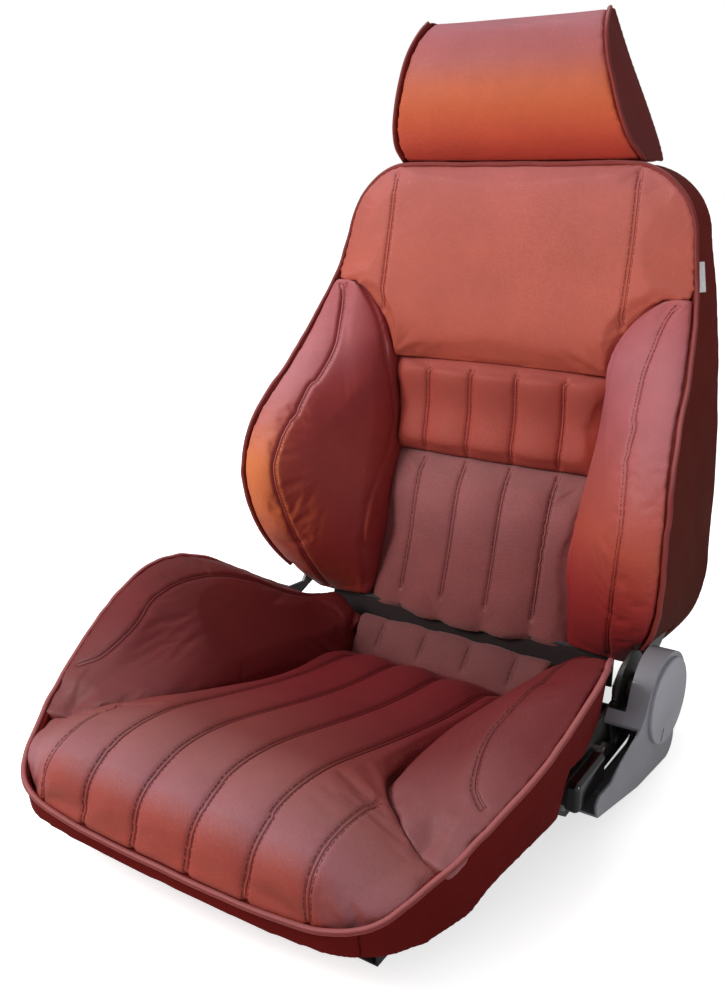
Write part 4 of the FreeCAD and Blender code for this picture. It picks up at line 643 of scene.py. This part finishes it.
# The hides add a painted warm glow on faces that look forward and down; the far bolster's darker tone on
# faces that look up is painted shade, and the cloth strip's paler tone there a painted highlight
pleat_hide = hide("pleat_hide", CUSHION_DYE_AND_LIGHT, tint(150, 84, 88), tint(158, 62, 46), (0.0, 1.0, 0.0), "Y")
bolster_hide = hide("bolster_hide", BOLSTER_DYE_AND_LIGHT, tint(160, 90, 94), tint(150, 66, 56), (0.0, 0.6, 0.0), "Y")
far_bolster_shaded_hide = hide("far_bolster_shaded_hide", FAR_BOLSTER_SHADED_DYE, tint(120, 40, 40), tint(150, 66, 56),
                        (0.5, 0.6, 0.0), "Y")
strip_cloth = woven("strip_cloth", tint(112, 48, 48), tint(112, 58, 58), tint(106, 50, 50))


def place_piece(piece, body, slot, material, *nodes, fill=None):
    """Gives a finished piece its material and its body and hides the nodes that it stands for; its slot is
    not used.
    """
    piece.data.materials.clear()
    piece.data.materials.append(material)
    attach(piece, body)
    if nodes:
        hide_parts(*nodes)


COARSE_STEP = 0.004


def tucked(pieces, routes, depth=0.0020, width=0.0050):
    """Draws the covers on both sides of a sewn joint down along it."""
    for piece in pieces:
        for route in routes:
            press_channel(piece, smooth_route(route, COARSE_STEP), depth, width)


def eased(piece, route, reach, shift):
    """Moves a cover beside a line by a vector that fades out with the distance."""
    points = points_of(piece)
    away = distances_to(points, smooth_route(route, COARSE_STEP))
    share = np.clip(1 - (away / reach) ** 2, 0, 1) ** 2
    set_points(piece, points + share[:, None] * np.array(shift))


def eased_both(piece, route, reach, shift):
    """Moves a middle cover in the same way on both sides of the seat."""
    eased(piece, route, reach, shift)
    eased(piece, mirror_route(route), reach, (-shift[0], *shift[1:]))


center_pad = sewn_pad("cushion_center_pad", "seat_center_pad", (0, -0.4, 1), cap=0.004)
rear_strip = sewn_pad("cushion_rear_pad", "seat_rear_strip", (0, -0.4, 1), cap=0.0015)
right_bolster = sewn_pad("cushion_bolster_right", "seat_bolster_right", (-0.6, 0, 1))

# The bolsters' front ends run out into the front roll, which fills the corner up to the piping. Their
# outer edges and the strip's rear edge stand a little fuller than the CAD's cut.
BOLSTER_END = ((0.240, -0.150, 0.112), (0.215, -0.152, 0.120), (0.190, -0.140, 0.126),
               (0.168, -0.122, 0.128))
ROLL_END = ((0.236, -0.162, 0.106), (0.226, -0.190, 0.097), (0.214, -0.212, 0.088))
eased(right_bolster, BOLSTER_END[:2], 0.034, (0, 0, -0.008))
eased(right_bolster, BOLSTER_END, 0.026, (0, 0, -0.003))
eased_both(center_pad, ROLL_END, 0.030, (0.005, -0.001, 0.004))
EDGE_LINE = ((0.246, -0.150, 0.118), (0.254, -0.130, 0.128), (0.267, -0.090, 0.146), (0.277, -0.045, 0.166),
             (0.284, 0.0, 0.186), (0.285, 0.040, 0.198), (0.279, 0.080, 0.199), (0.268, 0.120, 0.188),
             (0.253, 0.165, 0.160), (0.235, 0.215, 0.127))
eased(right_bolster, EDGE_LINE, 0.014, (0.003, 0, 0.001))
CORNER = ((0.242, -0.154, 0.112), (0.235, -0.158, 0.111))
eased(right_bolster, CORNER, 0.026, (0.004, -0.008, 0.001))
eased_both(center_pad, CORNER, 0.026, (0.005, 0.004, 0.003))
STRIP_EDGE = ((-0.135, 0.286, 0.070), (0.0, 0.286, 0.070), (0.135, 0.286, 0.070))
eased(rear_strip, STRIP_EDGE, 0.026, (0, 0.003, 0.004))
INSERT_LINE = ((0.212, -0.153, 0.120), (0.180, -0.138, 0.125), (0.143, -0.102, 0.122),
               (0.1307, -0.072, 0.109), (0.127, -0.042, 0.106), (0.123, 0.068, 0.084), (0.122, 0.210, 0.058),
               (0.139, 0.282, 0.061))
tucked([right_bolster, center_pad, rear_strip], [INSERT_LINE])
tucked([center_pad, rear_strip], [mirror_route(INSERT_LINE)])

# The pleat lines run up the middle pad and over its front roll; the crest line runs along each bolster
ROLL_LINE = ((-0.245, 0.072), (-0.246, 0.100), (-0.240, 0.122), (-0.222, 0.137), (-0.204, 0.142),
             (-0.175, 0.142), (-0.133, 0.135), (-0.078, 0.122), (-0.030, 0.112), (0.008, 0.101),
             (0.052, 0.093), (0.097, 0.083), (0.150, 0.070), (0.198, 0.057), (0.240, 0.047))
FRONT_PLEATS = (-0.157, *PLEAT_PLACES, 0.157)
seat_routes = []
for across_place in FRONT_PLEATS:
    line = ROLL_LINE[:7] if abs(across_place) > 0.1 else ROLL_LINE
    seat_routes.append(smooth_route([(across_place, depth, height) for depth, height in line]))
seat_pleats = pressed_seams(center_pad, seat_routes)
STRIP_LINE = ((0.258, 0.051), (0.270, 0.060), (0.283, 0.070))


def pleat_routes(line):
    """The same line of places and heights at every pleat of the middle strips."""
    return [smooth_route([(across_place, *point) for point in line]) for across_place in PLEAT_PLACES]


strip_pleats = pressed_seams(rear_strip, pleat_routes(STRIP_LINE), 0.0014, 0.0034)
CREST_LINE = ((0.2495, -0.137, 0.121), (0.2480, -0.122, 0.124), (0.2430, -0.107, 0.130),
              (0.226, -0.092, 0.145), (0.216, -0.051, 0.170), (0.223, -0.017, 0.186),
              (0.226, 0.006, 0.189), (0.229, 0.044, 0.189), (0.225, 0.097, 0.177), (0.214, 0.150, 0.158),
              (0.203, 0.205, 0.136), (0.192, 0.255, 0.110), (0.186, 0.290, 0.090))
crest_lines = pressed_seams(right_bolster, [smooth_route(CREST_LINE)])
left_bolster = mirrored_piece(right_bolster, "seat_bolster_left")
crest_lines += [(mirror_route(places), mirror_route(normals)) for places, normals in crest_lines]
place_piece(center_pad, "base", "pleated_leather", pleat_hide, "cushion_center_pad", fill=0.7)
place_piece(rear_strip, "base", "pleated_cloth", strip_cloth, "cushion_rear_pad", fill=0.7)
place_piece(right_bolster, "base", "oxblood_leather", bolster_hide, "cushion_bolster_right", fill=0.75)
place_piece(left_bolster, "base", "oxblood_leather", far_bolster_shaded_hide, "cushion_bolster_left", fill=0.75)
place_piece(raised_seam("seat_pleat_seams", seat_pleats), "base", "pleated_leather", pleat_hide)
place_piece(raised_seam("seat_strip_seams", strip_pleats), "base", "pleated_cloth", strip_cloth)
place_piece(raised_seam("seat_crest_seams", crest_lines), "base", "oxblood_leather", bolster_hide)


def thread(name, colour):
    """Twisted polyester thread."""
    material, tree, output = new_material(name)
    place = add_node(tree, "TexCoord")
    twist = add_node(tree, "TexNoise", {"Vector": place.outputs["Object"], "Scale": 2600.0, "Detail": 2.0})
    shade = add_node(tree, "MapRange", {"Value": twist.outputs["Fac"], "To Min": 0.7, "To Max": 1.3})
    shaded = add_node(tree, "VectorMath", {0: colour[:3], "Scale": shade.outputs[0]}, operation="SCALE")
    relief = add_node(tree, "Bump", {"Height": twist.outputs["Fac"], "Distance": 0.0001, "Strength": 0.5})
    skin = add_node(tree, "BsdfPrincipled", {"Base Color": shaded.outputs[0], "Roughness": 0.55,
                                             "Normal": relief.outputs[0]})
    tree.links.new(skin.outputs[0], output.inputs["Surface"])
    return material


seat_thread = thread("seat_thread", tint(92, 34, 34))
seat_stitches = thread_rows("seat_stitches", seat_pleats + strip_pleats + crest_lines,
                            surface_of(center_pad, rear_strip, right_bolster, left_bolster))
place_piece(seat_stitches, "base", "piping_leather", seat_thread)

# Cushion boxing
# Strips of the same hide over thin foam, sewn to the pads along the piping and stapled under the frame.
# The boxing hide takes a faint painted highlight on faces that look up and a faint painted warm glow on
# faces that look forward and down
boxing_hide = hide("boxing_hide", tint(98, 26, 25), tint(106, 34, 32), tint(106, 28, 25), sheen=0.0,
                   shine=0.005)
BOXING_VOXEL = 0.0022
PANEL_RISE = 0.0004
LONG_WAVE = np.array([31.0, 47.0, 23.0])
CROSS_WAVE = np.array([-19.0, 29.0, 53.0])


def trim_panel(node, name, voxel=0.003, ripple=0.0006):
    """A thin covered panel from a frame node, with the slight ripples of stretched hide."""
    piece = soft_shell(node, name, voxel, 3, 0.8)
    apply_modifier(piece, "SMOOTH", factor=0.5, iterations=2)
    points, normals = points_of(piece), normals_of(piece)
    wave = np.sin(points @ LONG_WAVE) * np.sin(points @ CROSS_WAVE)
    set_points(piece, points + normals * (wave * ripple + PANEL_RISE)[:, None])
    bpy.ops.object.shade_smooth()
    return piece


front_boxing = trim_panel("cushion_boxing_front", "seat_boxing_front", voxel=BOXING_VOXEL)
right_boxing = trim_panel("cushion_boxing_right", "seat_boxing_right", voxel=BOXING_VOXEL)
left_boxing = mirrored_piece(right_boxing, "seat_boxing_left")
for piece, node in ((front_boxing, "cushion_boxing_front"), (right_boxing, "cushion_boxing_right"),
                    (left_boxing, "cushion_boxing_left")):
    place_piece(piece, "base", "oxblood_leather", boxing_hide, node, fill=0.5)

# Cushion piping
# A cord in a strip of hide, sewn between the pads and the boxing. It starts at the rear of one side, runs
# forward over the bolster, across the front roll and back along the other side.
PIPING_RADIUS = 0.0030
CORD_RISE = 0.55
CORD_EASINGS = 4
SEAT_PIPING = ((0.214, 0.272, 0.091), (0.218, 0.262, 0.098), (0.235, 0.215, 0.127), (0.253, 0.165, 0.160),
               (0.268, 0.120, 0.188), (0.279, 0.080, 0.199), (0.285, 0.040, 0.198), (0.284, 0.0, 0.186),
               (0.277, -0.045, 0.166), (0.267, -0.090, 0.146), (0.254, -0.130, 0.128),
               (0.240, -0.166, 0.111), (0.227, -0.194, 0.098), (0.214, -0.216, 0.087),
               (0.191, -0.234, 0.079), (0.160, -0.2425, 0.0735), (0.110, -0.2475, 0.0705),
               (0.055, -0.2495, 0.069), (0.0, -0.250, 0.069))


def both_sides(points):
    """A route over both sides, from its right half that ends in the middle."""
    return list(points) + mirror_route(points)[-2::-1]


def piping(name, routes, covers, radius=PIPING_RADIUS):
    """Tubes of hide over a cord, along smooth routes in the seam between the covers beside them."""
    surface = surface_of(*covers)
    data = bpy.data.curves.new(name, "CURVE")
    data.dimensions = "3D"
    data.bevel_depth = radius
    data.bevel_resolution = 3
    data.use_fill_caps = True
    for route in routes:
        places, normals = laid_on(smooth_route(route, COARSE_STEP), surface)
        line = [place + normal * (CORD_RISE * radius) for place, normal in zip(places, normals)]
        for _ in range(CORD_EASINGS):
            line[1:-1] = [(a + 2 * b + c) / 4 for a, b, c in zip(line, line[1:], line[2:])]
        spline = data.splines.new("POLY")
        spline.points.add(len(line) - 1)
        for point, place in zip(spline.points, line):
            point.co = (*place, 1)
    pick(new_piece(name, data))
    bpy.ops.object.convert(target="MESH")
    return tidy_shell(bpy.context.object)


# The piping hide takes a pale pink painted highlight along its top and a painted warm glow where it faces
# forward and down
piping_hide = hide("piping_hide", tint(132, 48, 46), tint(176, 100, 100), tint(150, 60, 52), cell=900.0,
                   depth=0.0002)
seat_covers = (center_pad, right_bolster, left_bolster, front_boxing, right_boxing, left_boxing)
place_piece(piping("seat_piping", [both_sides(SEAT_PIPING)], seat_covers), "base", "piping_leather",
            piping_hide, "cushion_piping")

# Recliner and hinges
# Stamped brackets with a dark plated finish bolt to the base and carry the backrest's arms on one axis. On
# the occupant's left a toothed arm, pawl and lever lock it under a moulded grey cover with a raised disc;
# the other hinge is plain. A spiral spring lifts the backrest, and a glossy black grip releases the pawl.
def rounded_copy(node, name, width, segments=2, angle=30):
    """A frame node's shape with its hard edges rounded."""
    piece = bare_copy(node, name)
    bpy.ops.object.mode_set(mode="EDIT")
    bpy.ops.mesh.select_all(action="SELECT")
    bpy.ops.mesh.dissolve_limited(angle_limit=math.radians(1))
    bpy.ops.object.mode_set(mode="OBJECT")
    apply_modifier(piece, "BEVEL", width=width, segments=segments, limit_method="ANGLE",
                   angle_limit=math.radians(angle))
    pick(piece)
    bpy.ops.object.shade_smooth_by_angle(angle=math.radians(35))
    return piece


cover_grey = hard_finish("cover_grey", tint(138, 138, 145), tint(168, 168, 172), 0.0, 0.34, 2400, 0.00016,
                         rub=0.35, coat=0.35)
cap_grey = hard_finish("cap_grey", tint(164, 164, 172), tint(178, 178, 184), 0.0, 0.42, 2400, 0.00014,
                       rub=0.3, coat=0.2)
gloss_black = hard_finish("gloss_black", tint(18, 18, 19), tint(52, 52, 54), 0.0, 0.14, 300, 0.00003,
                          rub=0.2, coat=0.6)
bronze = hard_finish("sintered_bronze", tint(168, 130, 82), tint(196, 160, 110), 0.85, 0.42, 1600, 0.0001)
place_piece(rounded_copy("recliner_cover", "recliner_shell", 0.0022, 3), "base", "grey_plastic", cover_grey,
            "recliner_cover")
place_piece(rounded_copy("recliner_disc_cap", "recliner_disc", 0.0004), "base", "grey_plastic", cap_grey,
            "recliner_disc_cap")
place_piece(rounded_copy("hinge_cover_left", "plain_hinge_cap", 0.0012, 3), "base", "grey_plastic",
            cover_grey, "hinge_cover_left")
finish_nodes(gloss_black, "lever_grip")
dark_plate = hard_finish("dark_plate", tint(44, 46, 46), tint(150, 150, 146), 0.35, 0.34, 1200, 0.00012)
finish_nodes(dark_plate, "recliner_bracket_right", "recliner_bracket_left", "recliner_arm_right",
             "recliner_arm_left")
finish_nodes(zinc_plate, "pivot_bolts", "pivot_nuts", "pivot_washers", "recliner_pins",
             "recliner_lever", "recliner_pawl", "recliner_cover_screws", "arm_bolts")
finish_nodes(oiled_wire, "recline_spring", "back_springs")
finish_nodes(bronze, "pivot_bushes")

# Backrest frame
# One bent steel hoop with two cross tubes and the headrest's guide tubes, welded and powder coated black.
finish_nodes(powder_coat, "back_hoop_frame", "back_lower_crossbar", "back_upper_crossbar")

# Backrest upholstery
# Two big side wings, a pleated cloth lumbar pad, a pleated middle pad and a plain upper pad, each foam
# under a sewn cover, with thin boxing panels round the sides, top and bottom and a lining at the rear.
# Colour stops up the backrest: the upper pad is warmer lower down, a painted glow, and pinker towards the
# top, a painted highlight
UPPER_DYE_AND_LIGHT = ((0.42, tint(196, 92, 74)), (0.55, tint(198, 97, 81)), (0.62, tint(202, 106, 96)),
             (0.66, tint(196, 110, 110)))
# The lumbar cloth is darker towards the bottom and pinker towards the top
LUMBAR_HEIGHT_TONES = ((0.10, tint(126, 58, 58)), (0.17, tint(138, 68, 68)), (0.24, tint(156, 88, 90)),
              (0.29, tint(156, 86, 86)))
# The wings are deep wine at the bottom, painted shade, orange across the middle, a painted warm glow, and
# pinker higher up, a painted highlight
WING_DYE_AND_LIGHT = ((0.10, tint(132, 26, 36)), (0.16, tint(152, 38, 44)), (0.20, tint(168, 54, 52)),
            (0.26, tint(192, 86, 70)), (0.32, tint(186, 92, 86)), (0.38, tint(178, 94, 98)),
            (0.44, tint(190, 110, 118)), (0.51, tint(180, 82, 84)))
# The far wing's stops are a brighter copy with a stronger painted orange glow across the middle
FAR_WING_DYE_AND_LIGHT = ((0.10, tint(128, 22, 34)), (0.17, tint(160, 52, 48)), (0.22, tint(220, 110, 64)),
                (0.29, tint(236, 132, 80)), (0.35, tint(206, 110, 96)), (0.40, tint(198, 120, 126)),
                (0.46, tint(186, 96, 100)), (0.51, tint(178, 78, 80)))
# The side panels are darker towards the bottom
SIDE_HEIGHT_TONES = ((0.08, tint(84, 34, 22)), (0.30, tint(94, 34, 26)), (0.50, tint(112, 40, 34)),
            (0.66, tint(124, 46, 42)))
# The pad and wing hides add painted light: a paler pinker tone on faces that look up and a warmer tone on
# faces that look forward and down; the far wing's hide also paints shade on its inward faces
upper_hide = hide("upper_hide", UPPER_DYE_AND_LIGHT, tint(200, 124, 120), tint(190, 92, 74), (0.8, 0.3, 0.0))
middle_hide = hide("middle_hide", tint(184, 80, 68), tint(180, 90, 82), tint(174, 76, 64))
lumbar_cloth = woven("lumbar_cloth", LUMBAR_HEIGHT_TONES, tint(150, 92, 92), tint(140, 76, 74))
wing_hide = hide("wing_hide", WING_DYE_AND_LIGHT, tint(200, 124, 128), tint(206, 92, 62), (0.7, 0.10, 0.0))
far_wing_glow_and_shade_hide = hide("far_wing_glow_and_shade_hide", FAR_WING_DYE_AND_LIGHT, tint(204, 132, 138), tint(226, 124, 64),
                     (0.8, 0.15, 0.95))
# The side panels' hide darkens faces that look forward and down as painted shade, and faces that look up
# take a painted highlight
side_hide = hide("side_hide", SIDE_HEIGHT_TONES, tint(120, 54, 50), tint(90, 22, 18), (0.6, 0.2, 0.0), sheen=0.0,
                 shine=0.005)
upper_pad = sewn_pad("back_upper_pad", "back_rest_upper", (0, -1, 0.1))
middle_pad = sewn_pad("back_mid_pad", "back_rest_middle", (0, -1, 0), cap=0.003)
lumbar_pad = sewn_pad("back_lumbar_pad", "back_rest_lumbar", (0, -1, 0), cap=0.003)
right_wing = sewn_pad("back_wing_right", "back_rest_wing_right", (-0.3, -1, 0.2))
BACK_INSERT = ((0.235, 0.393, 0.515), (0.209, 0.386, 0.510), (0.179, 0.378, 0.485), (0.160, 0.372, 0.454),
               (0.152, 0.372, 0.421), (0.150, 0.376, 0.395), (0.145, 0.381, 0.352), (0.142, 0.379, 0.330),
               (0.142, 0.361, 0.295), (0.143, 0.331, 0.253), (0.146, 0.312, 0.218), (0.146, 0.305, 0.161),
               (0.145, 0.314, 0.112))
FOOT_LINE = ((-0.145, 0.318, 0.108), (0.0, 0.318, 0.108), (0.145, 0.318, 0.108))
eased(lumbar_pad, FOOT_LINE, 0.050, (0, -0.005, -0.014))
tucked([right_wing, upper_pad, middle_pad, lumbar_pad], [BACK_INSERT], 0.0018, 0.0045)
tucked([upper_pad, middle_pad, lumbar_pad], [mirror_route(BACK_INSERT)], 0.0018, 0.0045)
MIDDLE_LINE = ((0.383, 0.296), (0.388, 0.350), (0.377, 0.412))
LUMBAR_LINE = ((0.323, 0.114), (0.333, 0.178), (0.343, 0.212), (0.357, 0.250), (0.379, 0.286))
middle_pleats = pressed_seams(middle_pad, pleat_routes(MIDDLE_LINE))
lumbar_pleats = pressed_seams(lumbar_pad, pleat_routes(LUMBAR_LINE))
WING_LINE = ((0.229, 0.384, 0.500), (0.219, 0.368, 0.483), (0.211, 0.350, 0.465), (0.205, 0.326, 0.431),
             (0.212, 0.299, 0.392), (0.214, 0.281, 0.387), (0.217, 0.256, 0.353), (0.222, 0.242, 0.339),
             (0.230, 0.227, 0.299), (0.230, 0.223, 0.274), (0.224, 0.230, 0.230), (0.216, 0.252, 0.175),
             (0.208, 0.285, 0.125), (0.203, 0.300, 0.100))
wing_lines = pressed_seams(right_wing, [smooth_route(WING_LINE)])
left_wing = mirrored_piece(right_wing, "back_rest_wing_left")
wing_lines += [(mirror_route(places), mirror_route(normals)) for places, normals in wing_lines]
SHOULDER_LINE = ((0.164, 0.372, 0.474), (0.163, 0.380, 0.516), (0.163, 0.390, 0.560), (0.162, 0.398, 0.600),
                 (0.161, 0.404, 0.650))
shoulder_lines = pressed_seams(upper_pad, [smooth_route(line) for line in
                                           (SHOULDER_LINE, mirror_route(SHOULDER_LINE))])
place_piece(upper_pad, "backrest", "oxblood_leather", upper_hide, "back_upper_pad", fill=0.8)
place_piece(middle_pad, "backrest", "pleated_leather", middle_hide, "back_mid_pad", fill=0.7)
place_piece(lumbar_pad, "backrest", "pleated_cloth", lumbar_cloth, "back_lumbar_pad", fill=0.7)
place_piece(right_wing, "backrest", "oxblood_leather", wing_hide, "back_wing_right", fill=0.75)
place_piece(left_wing, "backrest", "oxblood_leather", far_wing_glow_and_shade_hide, "back_wing_left", fill=0.75)
place_piece(raised_seam("back_middle_seams", middle_pleats), "backrest", "pleated_leather", middle_hide)
place_piece(raised_seam("back_lumbar_seams", lumbar_pleats), "backrest", "pleated_cloth", lumbar_cloth)
place_piece(raised_seam("back_wing_seams", wing_lines), "backrest", "oxblood_leather", wing_hide)
place_piece(raised_seam("back_shoulder_seams", shoulder_lines), "backrest", "oxblood_leather", upper_hide)
back_stitches = thread_rows("back_stitches", middle_pleats + lumbar_pleats + wing_lines + shoulder_lines,
                            surface_of(middle_pad, lumbar_pad, right_wing, left_wing, upper_pad))
back_thread = thread("back_thread", tint(120, 48, 44))
place_piece(back_stitches, "backrest", "piping_leather", back_thread)
right_side = trim_panel("back_boxing_right", "back_rest_side_right")
left_side = mirrored_piece(right_side, "back_rest_side_left")
top_panel = trim_panel("back_boxing_top", "back_rest_top")
for piece, node in ((right_side, "back_boxing_right"), (left_side, "back_boxing_left"),
                    (top_panel, "back_boxing_top")):
    place_piece(piece, "backrest", "dark_leather", side_hide, node, fill=0.5)
LINING_VOXEL = 0.003
FLAP_VOXEL = 0.0015
lining_cloth = woven("lining_cloth", tint(38, 36, 36), tint(48, 46, 46), tint(40, 38, 38))
# A very dark wine cloth flap closes the gap under the backrest as painted shade
flap_shade_cloth = woven("flap_shade_cloth", tint(34, 10, 12), tint(40, 16, 18), tint(34, 12, 14))
for node, name in (("back_rear_panel", "back_rest_rear_lining"), ("back_bottom_panel", "back_rest_bottom"),
                   ("back_flap", "back_rest_shade_flap")):
    panel = trim_panel(node, name, voxel=FLAP_VOXEL if node == "back_flap" else LINING_VOXEL, ripple=0.0004)
    place_piece(panel, "backrest", "black_cloth", flap_shade_cloth if node == "back_flap" else lining_cloth, node)

# Back piping and tag
# The same piping runs up one side of the backrest, over the shoulders and down the other side. A small
# bare tape tag is caught in the side seam.
BACK_PIPING = ((0.250, 0.280, 0.128), (0.261, 0.267, 0.146), (0.272, 0.250, 0.173), (0.279, 0.236, 0.205),
               (0.283, 0.225, 0.240), (0.285, 0.220, 0.275), (0.283, 0.226, 0.310), (0.278, 0.242, 0.345),
               (0.270, 0.277, 0.385), (0.262, 0.323, 0.430), (0.254, 0.359, 0.475), (0.246, 0.386, 0.516),
               (0.238, 0.400, 0.551), (0.232, 0.408, 0.580), (0.225, 0.412, 0.605), (0.213, 0.414, 0.626),
               (0.196, 0.415, 0.642), (0.176, 0.415, 0.653), (0.150, 0.415, 0.659), (0.110, 0.415, 0.660),
               (0.055, 0.415, 0.660), (0.0, 0.415, 0.660))
back_covers = (upper_pad, right_wing, left_wing, right_side, left_side, top_panel)
place_piece(piping("back_rest_piping", [both_sides(BACK_PIPING)], back_covers), "backrest", "piping_leather",
            piping_hide, "back_piping")


# The tape takes a faint painted highlight where it faces up
tape = woven("white_tape", tint(232, 232, 230), tint(240, 240, 238), tint(234, 234, 232))
tag = rounded_copy("sewn_tag", "back_rest_tag", 0.0003)
tag_points = points_of(tag)
tag_seam = np.array([tag_points[:, 0].mean(), tag_points[:, 1].min(), 0])
TAG_LEAN = math.radians(32)
away = tag_points - tag_seam
lean = np.array([[math.cos(TAG_LEAN), -math.sin(TAG_LEAN), 0], [math.sin(TAG_LEAN), math.cos(TAG_LEAN), 0],
                 [0, 0, 1]])
set_points(tag, tag_seam + away @ lean)
place_piece(tag, "backrest", "white_tape", tape, "sewn_tag")

# Headrest
# A leaf-shaped block of foam on two chrome posts: one panel of hide from front to rear over the top, a
# dark panel at each side, and piping round the seams.
# Colour stops up the headrest: orange lower down, a painted warm glow, and pinker towards the top, a painted
# highlight
HEAD_DYE_AND_LIGHT = ((0.665, tint(212, 80, 62)), (0.690, tint(220, 92, 65)), (0.72, tint(216, 102, 62)),
            (0.745, tint(212, 108, 74)), (0.775, tint(190, 102, 98)), (0.82, tint(180, 102, 110)))
headrest_hide = hide("headrest_hide", HEAD_DYE_AND_LIGHT, tint(184, 110, 118), tint(196, 86, 62), (0.6, 0.0, 0.0))
# The side panels take a faint painted highlight on faces that look up and a faint painted warm glow on faces
# that look forward and down
head_side_hide = hide("head_side_hide", tint(118, 26, 22), tint(126, 38, 32), tint(118, 30, 24), sheen=0.0,
                      shine=0.10)
head_pad = sewn_pad("headrest_pad", "head_rest_pad", (0, 0, 1), cap=0.003)
place_piece(head_pad, "headrest", "oxblood_leather", headrest_hide, "headrest_pad", fill=0.8)
head_sides = trim_panel("headrest_side_panels", "head_rest_sides", voxel=0.002)
place_piece(head_sides, "headrest", "dark_leather", head_side_hide, "headrest_side_panels", fill=0.5)
HEAD_PIPING = ((0.1162, 0.4024, 0.824), (0.1205, 0.3814, 0.805), (0.1278, 0.3684, 0.779),
               (0.1372, 0.3664, 0.745), (0.1467, 0.3724, 0.711), (0.1542, 0.3884, 0.684),
               (0.1606, 0.4254, 0.661))
head_piping = piping("head_rest_piping", [HEAD_PIPING, mirror_route(HEAD_PIPING)], (head_pad, head_sides),
                     0.0025)
place_piece(head_piping, "headrest", "piping_leather", piping_hide, "headrest_piping")
polished_chrome = hard_finish("polished_chrome", tint(226, 226, 230), tint(236, 236, 238), 1.0, 0.07, 500,
                              0.00002, rub=0.2)
black_plastic = hard_finish("black_plastic", tint(30, 30, 31), tint(64, 64, 66), 0.0, 0.5, 1500, 0.0001)
finish_nodes(polished_chrome, "headrest_posts")
finish_nodes(black_plastic, "headrest_sleeves")
finish_nodes(zinc_plate, "headrest_core")
finish_nodes(powder_coat, "headrest_guides")
